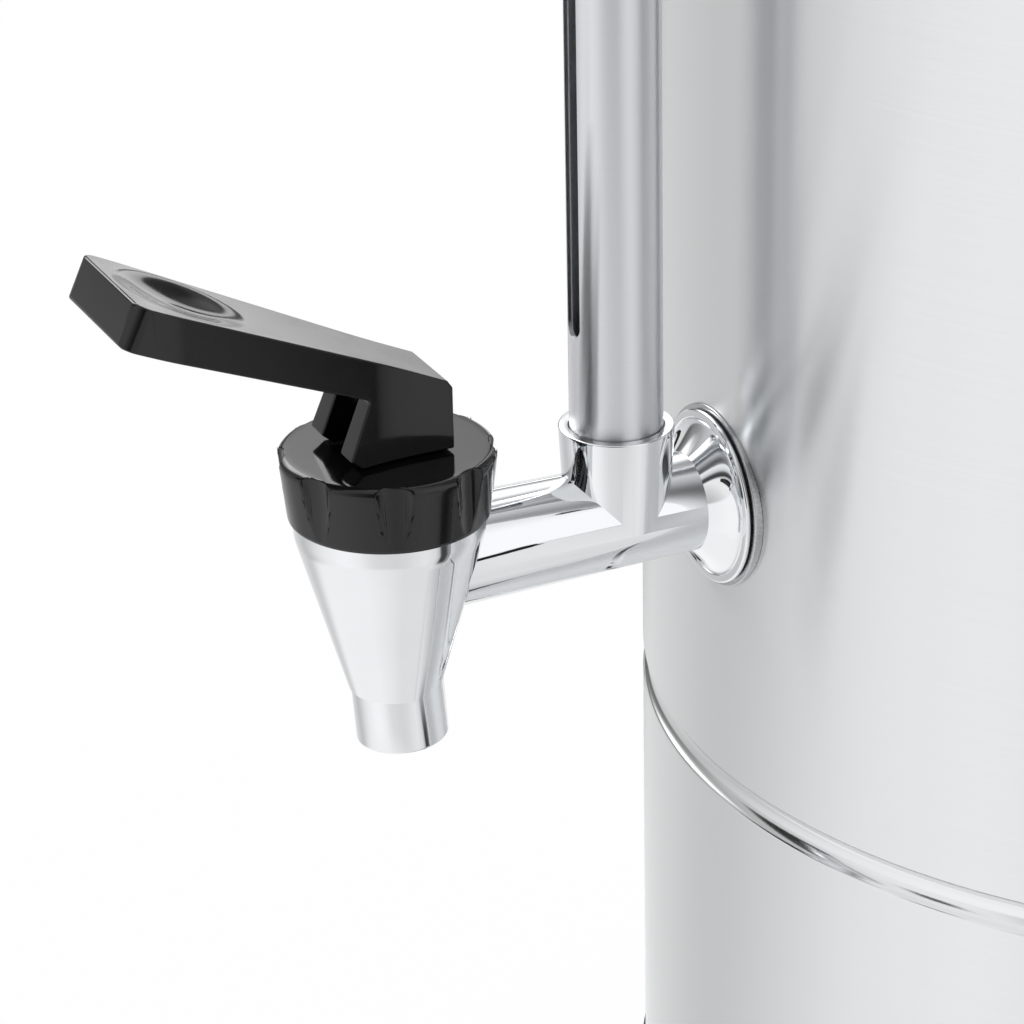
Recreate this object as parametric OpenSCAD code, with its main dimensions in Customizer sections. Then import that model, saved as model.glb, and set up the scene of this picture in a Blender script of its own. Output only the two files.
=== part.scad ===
// Hot water urn: a stainless tank on a moulded base, with a slotted sight gauge and a
// self-closing lever tap that share one cast arm. Millimetres, +Z up, the origin on the
// table under the tank's axis. The tap points along -Y, the handles along X, and the
// power inlet faces +Y.

/* [Tank] */
// Outside diameter of the rolled steel wall
body_d = 251.6; // [230:0.4:290]
// Thickness of the steel wall
wall_t = 0.8; // [0.6:0.1:1]
// Height of the wall's top edge above the table
rim_height = 476; // [444:1:524]
// Radius of the bead curled over the top edge
bead_r = 2.2; // [1.6:0.1:3]
// Height of the top edge of the rolled groove
groove_height = 136.5; // [128:0.5:144]
// Height of the groove's mouth
groove_w = 6.8; // [5.6:0.1:8]
// Depth of the groove
groove_depth = 2; // [1.4:0.1:2.6]
// Height of the tank floor above the groove
floor_rise = 26; // [20:1:28]
// Thickness of the tank floor
floor_t = 1; // [0.8:0.1:1.5]
// Radius of the tank floor's rounded edge
floor_round = 5; // [3:0.5:8]

/* [Base] */
// Height of the moulded base ring above the table
base_h = 34; // [33:0.5:40]
// How far the base ring stands out from the wall
base_lip = 0.9; // [0.6:0.1:2]
// Depth of the seat that holds the bottom edge of the wall
base_seat = 6; // [3:0.5:8]
// Thickness of the base ring's wall
base_wall = 4; // [3:0.2:5]
// Height of the rubber foot ring below the base ring
foot_proud = 1.5; // [1:0.1:2.5]
// Width of the rubber foot ring
foot_w = 8; // [6:0.5:9]
// Thickness of the steel base plate
plate_t = 0.8; // [0.6:0.1:1.5]
// Number of rows of vent slots in the base plate
vent_rows = 5; // [3:1:7]

/* [Heater and controls] */
// Diameter of the aluminium heater plate
heater_d = 116; // [100:1:140]
// Thickness of the heater plate
heater_t = 4; // [3:0.5:6]
// Diameter of the ring that the heating element follows
element_ring_d = 88; // [80:1:92]
// Diameter of the element's sheath
element_d = 7; // [6:0.5:8]
// Diameter of the thermostat's case
thermostat_d = 18; // [16:0.5:20]
// Width of the rocker switch's bezel
switch_w = 21; // [20:0.5:23]
// Height of the rocker switch's bezel
switch_h = 15; // [14:0.5:17]
// Travel of the rocker, in degrees
rocker_travel = 16; // [12:1:18]
// Diameter of the indicator lamp's lens
lamp_d = 8; // [6:0.5:10]
// Angle round the base between the switch and the lamp
lamp_angle = 13; // [11:0.5:18]
// Width of the power inlet's flange
inlet_w = 50; // [48:0.5:54]
// Height of the power inlet's flange
inlet_h = 22.5; // [22:0.5:24]

/* [Handles] */
// Distance from the tank's rim down to the side handles
handle_drop = 60; // [52:1:92]
// Distance between a handle's two legs
handle_span = 76; // [70:1:96]
// Distance from the tank wall to the middle of the grip
handle_reach = 33; // [30:1:44]
// Diameter of the grip
grip_d = 16; // [14:0.5:20]

/* [Lid] */
// Thickness of the lid's sheet
lid_t = 0.8; // [0.6:0.1:1.2]
// Rise of the lid's dome
lid_rise = 18; // [12:1:30]
// Depth of the band under the lid
lid_band = 9; // [6:0.5:14]
// Diameter of the lid's knob
knob_d = 38; // [32:1:46]
// Height of the lid's knob
knob_h = 30; // [26:1:36]

/* [Tap] */
// Height of the tap arm's axis above the table
tap_height = 194; // [188:1:204]
// Distance from the tank wall to the tap's axis
tap_reach = 67.1; // [62:0.1:80]
// Diameter of the arm beside the wall
arm_d_wall = 19.2; // [18.6:0.1:19.4]
// Diameter of the arm at the tap
arm_d_tap = 20.9; // [20:0.1:21.2]
// Diameter of the water way through the arm
bore_d = 10.4; // [8:0.2:11]
// Diameter of the arm's wall flange
flange_d = 34; // [32:0.2:38]
// Depth of the flange's bell
flange_bell = 4.2; // [3.4:0.1:5]
// Diameter of the tap body under the cap
shoulder_d = 35.6; // [34.6:0.2:36.6]
// Diameter of the spout
spout_d = 17.4; // [16.4:0.2:18]
// Distance from the arm's axis down to the spout's lip
spout_drop = 35.2; // [33:0.2:45]
// Distance from the arm's axis down to the spout's root
spout_root = 24.5; // [22:0.5:26]
// Lean of the spout toward the tank, in degrees
spout_lean = 4; // [0:0.5:6]
// Diameter of the cap at its grip
cap_d = 40.4; // [39.6:0.2:42]
// Diameter of the cap at its lower edge
cap_foot_d = 37.4; // [36.8:0.2:38]
// Height of the cap's lower edge above the arm's axis
cap_foot = 10.7; // [10:0.1:12]
// Height of the cap
cap_h = 13.3; // [12.5:0.1:15]
// Number of scallops round the cap
cap_scallops = 8; // [6:1:10]

/* [Lever] */
// Distance from the tap's axis out to the lever's tip
lever_reach = 54.6; // [48:0.2:64]
// Angle of the lever's top face
lever_angle = 25.1; // [22:0.1:26.5]
// Thickness of the lever at its tip
lever_tip_t = 8.3; // [7.6:0.1:9]
// Width of the lever's paddle
lever_tip_w = 29.8; // [24:0.2:32]
// Width of the lever's forked foot
lever_foot_w = 16; // [15.6:0.2:18]
// Width of the gap in the forked foot
fork_gap = 8.6; // [8:0.1:9]
// Diameter of the lever's pin
pin_d = 3.2; // [2.6:0.1:3.4]

/* [Sight gauge] */
// Distance from the tank wall to the gauge's axis
gauge_reach = 20.4; // [19.4:0.1:24]
// Diameter of the slotted sheath
sheath_d = 17.7; // [16.4:0.1:18.2]
// Thickness of the sheath's wall
sheath_t = 0.9; // [0.7:0.1:1.1]
// Distance from the tank's rim down to the sheath's top
gauge_drop = 34; // [28:1:72]
// Width of the slot in the sheath
slot_w = 4.9; // [3.5:0.1:6]
// Height of the slot's lower end above the arm's axis
slot_start = 38; // [34:1:60]
// Diameter of the socket's rim
socket_d = 21.9; // [21.4:0.1:23]
// Height of the socket's rim above the arm's axis
socket_rise = 19.1; // [18.5:0.1:23]
// Diameter of the sight glass
glass_d = 10; // [9:0.2:11]
// Thickness of the sight glass
glass_t = 1.2; // [1:0.1:1.6]

/* [Hidden] */
$fn = 96;

// Clearances
fit = 0.05;          // between fixed curved faces
slide_gap = 0.05;    // round a stem or pin that moves in its bore
loose = 0.4;         // between moving faces
eps = 0.5;           // how far a cutter runs past the face that it opens
past = 5;            // how far a drill runs past the tank's wall
bite = 1;            // how far shapes that join into one solid run into each other
edge = 0.6;          // edge break on moulded and turned pieces
round_fn = 180;      // facets round the tank
small_fn = 48;       // facets round small sections
round_steps = 8;     // steps along a rounded corner

// Tank
body_r = body_d / 2;
inner_r = body_r - wall_t;
groove_mid = groove_height - groove_w / 2;
groove_r = (groove_w * groove_w / 4 + groove_depth * groove_depth) / (2 * groove_depth);
groove_cx = body_r + groove_r - groove_depth;
groove_inner_half = (groove_r + wall_t) * sin(acos((groove_cx - inner_r) / (groove_r + wall_t)));
groove_steps = 12;
bead_cx = inner_r + bead_r + 3 * fit;
bead_outer_r = bead_cx + bead_r;
floor_top = groove_height + floor_rise;
floor_r = inner_r - fit;
floor_skirt = groove_mid + groove_inner_half + 5 * fit;

// Base
base_r = body_r + base_lip;
base_inner_r = base_r - base_wall;
wall_foot = base_h - base_seat;
spigot_top = base_h - 1;
flange_in = 22;                  // how far the base ring's floor reaches in from the wall
flange_top = foot_proud + 5;
foot_top = foot_proud + 2.5;
foot_r = body_r - 1;
plate_r = body_r - 15;
plate_z = foot_proud + 1;
boss_r = 4;
boss_top = flange_top + 8;
boss_ring = body_r - 18.5;
plate_screw_r = 1.5;
plate_screw_l = 8;
plate_head_r = 3;
plate_head_h = 1.3;
plate_screws_n = 4;
vent_l = 60;
vent_h = 4;
vent_pitch = 12;
foot_edge = 0.8;
control_z = (foot_proud + base_h) / 2;
pad_w = inlet_w + 3;
pad_h = inlet_h + 2;
pad_face = base_r + 1.2;
pad_depth = 8;
pad_wall = 5.5;                  // thickness of the base ring behind the inlet's pad

// Heater
heater_top = floor_top - floor_t;
heater_bottom = heater_top - heater_t;
element_z = heater_bottom - element_d / 2 - fit;
element_gap = 30;                // half the angle left open between the element's ends
terminal_turn = 7;               // angle from the element's end to its terminal
terminal_drop = 14;
terminal_r = 1.6;
terminal_l = 8;
thermostat_h = 9;
cutout_d = 13;
cutout_h = 7;
cutout_x = 22;
crimp = 1.2;                     // how far a disc switch's rim stands out
tab_w = 6.3;
tab_t = 0.8;
tab_l = 8;

// Switch
bezel_t = 2;
bezel_lip = 1;                   // how far the bezel covers the edge of its cut-out
switch_depth = 15;
switch_tab_w = 4.8;
switch_tab_x = 5;
bezel_face = base_r + bezel_t;
rocker_w = switch_w - 4.6;
rocker_h = switch_h - 4.4;
rocker_gap = 0.4;
rocker_pivot_in = 3.2;           // how far the pivot lies behind the bezel's face
rocker_crown = 1.7;              // how far the rocker's ends stand out of the bezel
rocker_valley = 0.35;            // how far the rocker's middle stands out of the bezel
rocker_back = 1.2;               // depth of the rocker's ends behind its pivot
rocker_keel = 2.6;               // depth of the rocker's middle behind its pivot
pivot_r = 1.1;
pivot_l = 0.6;
pocket_depth = 8.5;

// Lamp
lamp_wall = 1;
lamp_proud = 1.4;                // how far the holder's rim stands out of the base
lamp_crown = 1.6;                // rise of the lens above the rim
lamp_seat = 0.6;                 // depth of the lens's seat behind the base's face
lamp_step = 0.5;
lamp_depth = 16;
lens_depth = 12;

// Power inlet
shroud_w = 28;
shroud_h = 20;
shroud_t = 1.8;
shroud_depth = 20;
shroud_chamfer = 5;
inlet_flange_t = 2.6;
inlet_floor_t = 3;
blade_w = 2;
blade_h = 4;
blade_l = 15;
blade_pitch = 7;
blade_drop = 2;
blade_tail = 8;
inlet_screw_x = inlet_w / 2 - 5;
inlet_screw_r = 1.5;
inlet_screw_l = 7;
inlet_head_r = 2.9;
inlet_head_h = 1.6;

// Handles
handle_height = rim_height - handle_drop;
leg_angle = asin(handle_span / 2 / body_r);
grip_r = grip_d / 2;
grip_bend = 15;
grip_x = body_r + handle_reach;
pad_r = 13;
pad_t = 5;
handle_screw_r = 2;
handle_screw_l = 12;
screw_head_r = 4.4;
screw_head_h = 2.2;
head_gap = 0.1;                  // between the curved wall and a flat screw head inside it

// Lid
lid_seat = rim_height + 0.3;
lid_lip_r = bead_outer_r + 0.8 + lid_t;
lid_lip_drop = 3;
lid_band_r = inner_r - 1.2;
band_flange = 4.5;               // width of the band's flange under the lid
lid_dome_r = lid_band_r - 7;
lid_dome_base = lid_seat + lid_t;
lid_sphere_r = (lid_dome_r * lid_dome_r + lid_rise * lid_rise) / (2 * lid_rise);
lid_crown = lid_dome_base + lid_rise;
knob_foot_r = 13;
knob_waist_r = 9;
knob_screw_r = 1.75;
knob_screw_l = 14;
knob_head_r = 5;
knob_head_h = 2;
knob_foot_h = 2;
knob_flare = 1;
knob_neck = 5;                   // height at which the knob's neck starts
knob_waist = 9;                  // height of the knob's narrowest part
knob_shoulder = 0.45;            // where the knob's head starts, as a share of its height
knob_round = 0.24;               // half the depth of the knob's head, as a share of its height
lid_edge = 0.8;
lid_steps = 24;

// Arm
out_flange = body_r + 0.8;       // plane of the flange's back face
rim_t = 0.9;                     // thickness of the flange's rim
rim_bead = 1.6;                  // width of the bead along the rim
out_bell = out_flange + rim_t + flange_bell;
bell_steps = 10;
bell_sweep = 1.35;               // how much the bell curls outward; 1 is a straight cone
out_gauge = body_r + gauge_reach;
out_tap = body_r + tap_reach;
bore_r = bore_d / 2;
flange_r = flange_d / 2;
arm_r_wall = arm_d_wall / 2;
arm_r_tap = arm_d_tap / 2;
arm_r_gauge = arm_r_wall + (arm_r_tap - arm_r_wall) * (out_gauge - out_bell) / (out_tap - out_bell);
gasket_r = flange_r - 0.5;
gasket_t = 0.4;
washer_r = flange_r + 0.9;
out_washer = out_flange - gasket_t;
shank_r = 8;
shank_in = 14;                   // how far the shank reaches into the tank
socket_flare = 0.2;              // how far the socket's foot stands out of the arm
shank_hole_r = shank_r + 0.3;
tank_gasket_r = 13;
tank_gasket_t = 2;
tank_gasket_in = inner_r - 1 - tank_gasket_t;
nut_flats = 24;
nut_t = 6;

// Tap body, heights from the arm's axis
shoulder_r = shoulder_d / 2;
spout_r = spout_d / 2;
spout_bore_r = spout_r - 1.7;
cone_slope = (shoulder_r - 0.8 - spout_r) / (spout_root + 4.5);
cone_angle = atan(cone_slope);
shoulder_round = 10;
shoulder_tan_r = shoulder_r - shoulder_round * (1 - cos(cone_angle));
shoulder_tan_z = (shoulder_tan_r - spout_r) / cone_slope - spout_root;
neck_r = shoulder_r - 2;
neck_top = cap_foot + 8;
chamber_r = 9.5;
seat_z = -9;
seat_hole_r = 5.8;
seat_t = 5;                      // thickness of the metal round the seat's hole
seat_l = 8;
spigot_r = bore_r + 2.2;
spigot_out = chamber_r + 1;
spout_shift = 0.45;
spigot_entry = 5;                // clear length of the arm's bore before its spigot

// Cap
cap_r = cap_d / 2;
cap_foot_r = cap_foot_d / 2;
cap_top = cap_foot + cap_h;
cap_edge = 1.8;
cap_bevel = 1.2;
cap_crown = 0.6;
crown_r = 12;
scallop_r = 6;
scallop_in = cap_foot_r + 0.1;
scallop_turn = 27;               // angle of the first scallop from +X
stem_r = 2.5;
cap_gap = 0.3;                   // between the tap's neck and the cap's roof
guide_r = 4.4;
guide_foot = neck_top - 3;

// Lever, u outward from the tap's axis and v up from the arm's axis
foot_v = cap_top + loose + 0.2;
foot_round = 2.5;
foot_back_u = -10;
pin_v = foot_v + 6.4;
pin_r = pin_d / 2;
pin_reach = fork_gap / 2 + 2.4;
tip_bottom_u = lever_reach;
tip_top_u = lever_reach - lever_tip_t * sin(lever_angle);
heel_v = foot_v + 12.9;
heel_chamfer = 1;
tip_top_v = heel_v + (tip_top_u - foot_back_u) * tan(lever_angle);
tip_bottom_v = tip_top_v - lever_tip_t * cos(lever_angle);
under_angle = lever_angle - 2.8;
front_lean = lever_angle - 3.1;
front_top_u = 6.6;
front_top_v = under_v(front_top_u);
front_base_u = front_top_u + (front_top_v - foot_v) * tan(front_lean);
cam_u = front_base_u - foot_round * (tan(front_lean) + 1 / cos(front_lean));
paddle_start = 1;
paddle_full = 40;
paddle_steps = 12;
tip_round = 1.2;
scoop_r = 34;
scoop_depth = 1.7;
scoop_back = 14;
pin_fit = 0.02;                  // between the lever and the pin pressed into it
pin_end = 0.1;                   // past each end of the pin
fork_back_u = -5.2;
fork_front_u = front_base_u + 4;
stem_head_r = 3.7;
stem_head_w = fork_gap - 2 * loose;
cup_r = 7.2;
cup_top = -3;
cup_edge = 2.4;                  // height of the cup's widest part
cup_slope = 1.6;
cup_foot = seat_z + fit;
barb_r = 3.6;
barb_top = cup_foot + 4;
barb_foot = cup_foot + 1.5;
spring_r = 3.6;
spring_wire_r = 0.45;
spring_turns = 6;
spring_end = 0.1;                // between the spring's ends and their seats
spring_foot = cup_top + spring_end;
spring_head = guide_foot - spring_end;
spring_sides = 8;
spring_rings = 12;

// Gauge
gauge_top = rim_height - gauge_drop;
sheath_r = sheath_d / 2;
socket_r = socket_d / 2;
socket_bore_r = sheath_r + 0.15;
socket_seat = 8;
seal_bore_r = 7.2;
seal_foot = 3;
glass_r = glass_d / 2;
glass_foot = tap_height + seal_foot + 4 * fit;
glass_head = gauge_top - 3;
sheath_foot = tap_height + socket_seat;
seal_h = 4.5;
cap_skirt = 6;
cap_wall = 1.5;
cap_dome = 3;
collar_h = 8;
collar_t = 2;
collar_z = gauge_top - 22;
strut_r = 3.4;
strut_foot_r = 7;
strut_foot_t = 1.5;
vent_r = 1;                      // vent hole in the gauge's cap
seal_edge = 0.4;
slot_clear = 10;                 // from the slot's upper end to the collar
bracket_screw_r = 1.75;
bracket_screw_l = 8;

// Points along an arc from angle a0 to angle a1
function arc(cx, cy, r, a0, a1, n) =
    [for (i = [0:n]) let (a = a0 + (a1 - a0) * i / n) [cx + r * cos(a), cy + r * sin(a)]];

// Eases from 0 to 1
function ease(t) = t * t * (3 - 2 * t);

// Half the width of the lever at a distance u from the tap's axis
function lever_half(u) =
    let (t = min(1, max(0, (u - paddle_start) / (paddle_full - paddle_start))))
    lever_foot_w / 2 + (lever_tip_w - lever_foot_w) / 2 * ease(t);

// Height of the lever's underside at a distance u from the tap's axis
function under_v(u) = tip_bottom_v - (tip_bottom_u - u) * tan(under_angle);

// The arm's axis, with local z as the distance out from the tank's axis
module on_arm() {
    translate([0, 0, tap_height]) rotate([90, 0, 0]) children();
}

// The tap's axis, with z = 0 at the arm's axis
module on_tap() {
    translate([0, -out_tap, tap_height]) children();
}

// The gauge's axis, at table height
module on_gauge() {
    translate([0, -out_gauge, 0]) children();
}

// A radial direction at angle a from -Y, with local z as the distance from the tank's axis
module radially(a, z) {
    rotate([0, 0, a]) translate([0, 0, z]) rotate([90, 0, 0]) children();
}

// The tank wall as a solid of radius r, to trim what lies against it
module wall_cutter(r) {
    cylinder(h = rim_height, r = r, $fn = 720);
}

// A hole through the tank's wall, where local z is the distance from the tank's axis
module wall_hole(r) {
    rod(r, inner_r - past, body_r + past);
}

// Places its children at each of the base plate's screws
module at_plate_screws() {
    for (i = [0:plate_screws_n - 1])
        rotate([0, 0, 45 + 360 / plate_screws_n * i]) translate([boss_ring, 0, 0]) children();
}

// A ring between two radii
module ring(r_out, r_in, z0, z1) {
    translate([0, 0, z0]) difference() {
        cylinder(h = z1 - z0, r = r_out);
        translate([0, 0, -eps]) cylinder(h = z1 - z0 + 2 * eps, r = r_in);
    }
}

// A bar of round section along local z
module rod(r, z0, z1) {
    translate([0, 0, z0]) cylinder(h = z1 - z0, r = r);
}

// A pan-head screw with its head's underside at z = 0 and its shank along +z
module screw(r, l, head_r, head_h) {
    difference() {
        union() {
            rod(head_r, -head_h, 0);
            rod(r, -head_h / 2, l);
        }
        for (a = [0, 90])
            rotate([0, 0, a])
                translate([-head_r * 0.6, -head_r * 0.1, -head_h - eps])
                    cube([head_r * 1.2, head_r * 0.2, head_h * 0.5 + eps]);
    }
}

// ---------------------------------------------------------------- tank

module wall_profile() {
    union() {
        polygon(concat(
            [[inner_r, wall_foot], [body_r, wall_foot]],
            arc(groove_cx, groove_mid, groove_r,
                180 + asin(groove_w / 2 / groove_r), 180 - asin(groove_w / 2 / groove_r),
                groove_steps),
            [[body_r, rim_height - bead_r], [inner_r, rim_height - bead_r]],
            arc(groove_cx, groove_mid, groove_r + wall_t,
                180 - asin(groove_inner_half / (groove_r + wall_t)),
                180 + asin(groove_inner_half / (groove_r + wall_t)),
                groove_steps)
        ));
        translate([bead_cx, rim_height - bead_r]) circle(r = bead_r, $fn = small_fn);
    }
}

module body_shell() {
    color("silver") difference() {
        rotate_extrude($fn = round_fn) wall_profile();
        on_arm() wall_hole(shank_hole_r);
        for (side = [90, -90], leg = [-leg_angle, leg_angle])
            radially(side + leg, handle_height) wall_hole(handle_screw_r + fit);
        radially(0, collar_z + collar_h / 2) wall_hole(bracket_screw_r + fit);
    }
}

module tank_bottom() {
    color("lightgray") rotate_extrude($fn = round_fn) polygon(concat(
        [[0, floor_top - floor_t], [floor_r - floor_round, floor_top - floor_t]],
        arc(floor_r - floor_round, floor_top - floor_round, floor_round - floor_t, 90, 0, round_steps),
        [[floor_r - floor_t, floor_skirt], [floor_r, floor_skirt]],
        arc(floor_r - floor_round, floor_top - floor_round, floor_round, 0, 90, round_steps),
        [[0, floor_top]]
    ));
}

// ---------------------------------------------------------------- base

module base_profile() {
    polygon([
        [body_r - flange_in, plate_z + plate_t], [plate_r + fit, plate_z + plate_t],
        [plate_r + fit, foot_proud], [foot_r - foot_w - fit, foot_proud],
        [foot_r - foot_w - fit, foot_top], [foot_r + fit, foot_top],
        [foot_r + fit, foot_proud], [base_r - edge, foot_proud],
        [base_r, foot_proud + edge], [base_r, base_h - edge],
        [base_r - edge / 2, base_h], [body_r + fit, base_h],
        [body_r + fit, wall_foot], [inner_r - fit, wall_foot],
        [inner_r - fit, spigot_top], [base_inner_r, spigot_top],
        [base_inner_r, flange_top], [body_r - flange_in, flange_top]
    ]);
}

// The C14 outline with its two chamfered corners
module inlet_outline(grow) {
    w = shroud_w / 2 + grow;
    h = shroud_h / 2 + grow;
    polygon([[-w, -h], [w, -h], [w, h - shroud_chamfer], [w - shroud_chamfer, h],
             [-w + shroud_chamfer, h], [-w, h - shroud_chamfer]]);
}

module base_ring() {
    color("#1c1c1e") difference() {
        union() {
            rotate_extrude($fn = round_fn) base_profile();
            at_plate_screws() rod(boss_r, flange_top - bite, boss_top);
            difference() {
                translate([-pad_w / 2, pad_face - pad_depth, control_z - pad_h / 2])
                    cube([pad_w, pad_depth, pad_h]);
                rod(base_r - pad_wall, flange_top, base_h);
                rotate_extrude($fn = round_fn) translate([inner_r - fit, wall_foot])
                    square([wall_t + 2 * fit, base_seat + eps]);
            }
        }
        at_plate_screws() rod(plate_screw_r + fit, plate_z, plate_z + plate_t + plate_screw_l + 1);
        translate([0, pad_face + eps, control_z]) rotate([90, 0, 0])
            linear_extrude(height = pad_depth + base_wall) inlet_outline(fit);
        for (s = [-1, 1])
            translate([s * inlet_screw_x, pad_face + eps, control_z]) rotate([90, 0, 0])
                rod(inlet_screw_r + fit, 0, inlet_screw_l + eps);
        radially(0, control_z)
            translate([0, 0, base_inner_r - past]) linear_extrude(height = base_wall + 2 * past)
                square([switch_w - 2 * bezel_lip + 2 * fit, switch_h - 2 * bezel_lip + 2 * fit],
                       center = true);
        radially(lamp_angle, control_z)
            rod(lamp_d / 2 + lamp_wall + fit, base_inner_r - past, base_r + past);
    }
}

module base_plate() {
    color("silver") difference() {
        rod(plate_r, plate_z, plate_z + plate_t);
        at_plate_screws() rod(plate_screw_r + fit, plate_z - eps, plate_z + plate_t + eps);
        for (i = [0:vent_rows - 1])
            translate([-vent_l / 2, (i - (vent_rows - 1) / 2) * vent_pitch - vent_h / 2, 0])
                cube([vent_l, vent_h, plate_z + plate_t + eps]);
    }
}

module plate_screws() {
    color("gray") at_plate_screws() translate([0, 0, plate_z])
        screw(plate_screw_r, plate_t + plate_screw_l, plate_head_r, plate_head_h);
}

module foot_ring() {
    foot_in = foot_r - foot_w;
    color("#26262a") rotate_extrude($fn = round_fn) polygon([
        [foot_in + foot_edge, 0], [foot_r - foot_edge, 0], [foot_r, foot_edge],
        [foot_r, foot_top], [foot_in, foot_top], [foot_in, foot_edge]
    ]);
}

// ---------------------------------------------------------------- heater

module heater_plate() {
    color("gainsboro") rotate_extrude() polygon([
        [0, heater_bottom], [heater_d / 2 - edge, heater_bottom],
        [heater_d / 2, heater_bottom + edge],
        [heater_d / 2, heater_top], [0, heater_top]
    ]);
}

module heating_element() {
    color("dimgray") union() {
        translate([0, 0, element_z]) rotate([0, 0, 90 + element_gap])
            rotate_extrude(angle = 360 - 2 * element_gap)
                translate([element_ring_d / 2, 0]) circle(r = element_d / 2, $fn = small_fn);
        for (s = [-1, 1])
            rotate([0, 0, 90 + s * (element_gap + terminal_turn)])
                translate([element_ring_d / 2, 0, 0]) {
                    rod(element_d / 2 - edge, element_z - terminal_drop, element_z);
                    rod(terminal_r, element_z - terminal_drop - terminal_l,
                        element_z - terminal_drop + bite);
                }
    }
}

// A disc thermostat with its face against the heater plate and two blade terminals
module disc_switch(d, h) {
    union() {
        rod(d / 2, heater_bottom - h, heater_bottom);
        rod(d / 2 + crimp, heater_bottom - h * 2 / 3, heater_bottom - h / 3);
        for (s = [-1, 1])
            translate([s * d / 4 - tab_t / 2, -tab_w / 2, heater_bottom - h - tab_l])
                cube([tab_t, tab_w, tab_l + bite]);
    }
}

module thermostat() {
    color("#3a3a3a") disc_switch(thermostat_d, thermostat_h);
}

module thermal_cutout() {
    color("#b8a98a") translate([cutout_x, 0, 0]) disc_switch(cutout_d, cutout_h);
}

// ---------------------------------------------------------------- controls

module switch_housing() {
    color("#151515") radially(0, control_z) difference() {
        union() {
            intersection() {
                translate([-switch_w / 2, -switch_h / 2, base_r - bezel_t])
                    cube([switch_w, switch_h, 2 * bezel_t]);
                rotate([-90, 0, 0]) ring(bezel_face + past, base_r + fit, -switch_h, switch_h);
            }
            translate([-switch_w / 2 + bezel_lip, -switch_h / 2 + bezel_lip,
                       bezel_face - bezel_t / 2 - switch_depth])
                cube([switch_w - 2 * bezel_lip, switch_h - 2 * bezel_lip, switch_depth]);
            for (s = [-1, 1])
                translate([s * switch_tab_x - tab_t / 2, -switch_tab_w / 2,
                           bezel_face - bezel_t / 2 - switch_depth - tab_l])
                    cube([tab_t, switch_tab_w, tab_l + bite]);
        }
        translate([-rocker_w / 2 - rocker_gap, -rocker_h / 2 - rocker_gap, bezel_face - pocket_depth])
            cube([rocker_w + 2 * rocker_gap, rocker_h + 2 * rocker_gap, pocket_depth + eps]);
        translate([0, 0, bezel_face - rocker_pivot_in]) rotate([90, 0, 0])
            rod(pivot_r + slide_gap, -rocker_h / 2 - pivot_l - loose / 2,
                rocker_h / 2 + pivot_l + loose / 2);
    }
}

// The rocker's outline about its pivot, with two pressing faces that meet at a shallow valley
module rocker_outline() {
    half = rocker_w / 2 - edge / 2;
    top = rocker_pivot_in + rocker_crown;
    valley = rocker_pivot_in + rocker_valley;
    mid = (top + valley) / 2;
    polygon([
        [-half, -rocker_back], [-half, top], [-half / 2, mid], [0, valley],
        [half / 2, mid], [half, top], [half, -rocker_back],
        [half / 3, -rocker_keel], [-half / 3, -rocker_keel]
    ]);
}

module switch_rocker() {
    color("#0d0d0d") radially(0, control_z) translate([0, 0, bezel_face - rocker_pivot_in])
        rotate([0, -rocker_travel / 2, 0]) rotate([90, 0, 0]) union() {
            translate([0, 0, -rocker_h / 2]) linear_extrude(height = rocker_h) rocker_outline();
            rod(pivot_r, -rocker_h / 2 - pivot_l, rocker_h / 2 + pivot_l);
        }
}

module lamp_holder() {
    color("#151515") radially(lamp_angle, control_z) difference() {
        union() {
            rod(lamp_d / 2 + lamp_wall, base_r - lamp_depth, base_r + lamp_wall);
            rod(lamp_d / 2 + 2 * lamp_wall, base_r + fit, base_r + lamp_proud);
        }
        rod(lamp_d / 2 - lamp_step, base_r - lamp_depth + 2 * lamp_wall, base_r + eps);
        rod(lamp_d / 2 + fit, base_r - lamp_seat, base_r + lamp_proud + eps);
    }
}

module lamp_lens() {
    stem = lamp_d / 2 - lamp_step - fit;
    color("#e8801a") radially(lamp_angle, control_z) rotate_extrude($fn = small_fn) polygon(concat(
        [[0, base_r - lens_depth], [stem, base_r - lens_depth], [stem, base_r - lamp_seat],
         [lamp_d / 2, base_r - lamp_seat]],
        [for (p = arc(0, 0, 1, 0, 90, round_steps))
            [p[0] * lamp_d / 2, base_r + lamp_proud + p[1] * lamp_crown]]
    ));
}

module power_inlet() {
    color("#151515") translate([0, pad_face, control_z]) rotate([-90, 0, 0]) rotate([0, 0, 180])
        difference() {
            union() {
                translate([-inlet_w / 2, -inlet_h / 2, 0]) cube([inlet_w, inlet_h, inlet_flange_t]);
                translate([0, 0, inlet_flange_t - shroud_depth - inlet_floor_t])
                    linear_extrude(height = shroud_depth + inlet_floor_t) inlet_outline(0);
            }
            translate([0, 0, inlet_flange_t - shroud_depth])
                linear_extrude(height = shroud_depth + eps) inlet_outline(-shroud_t);
            for (s = [-1, 1])
                translate([s * inlet_screw_x, 0, 0]) rod(inlet_screw_r + fit, -eps, inlet_flange_t + eps);
            inlet_blades(fit);
        }
}

// Live, neutral and earth blades, in the inlet's own axes
module inlet_blades(grow) {
    foot = inlet_flange_t - shroud_depth - inlet_floor_t - blade_tail;
    tip = inlet_flange_t - shroud_depth + blade_l;
    for (p = [[-blade_pitch, -blade_drop], [blade_pitch, -blade_drop], [0, blade_drop]])
        translate([p[0] - blade_w / 2 - grow, p[1] - blade_h / 2 - grow, foot - grow])
            cube([blade_w + 2 * grow, blade_h + 2 * grow, tip - foot + 2 * grow]);
}

module inlet_pins() {
    color("goldenrod") translate([0, pad_face, control_z]) rotate([-90, 0, 0]) rotate([0, 0, 180])
        inlet_blades(0);
}

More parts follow.
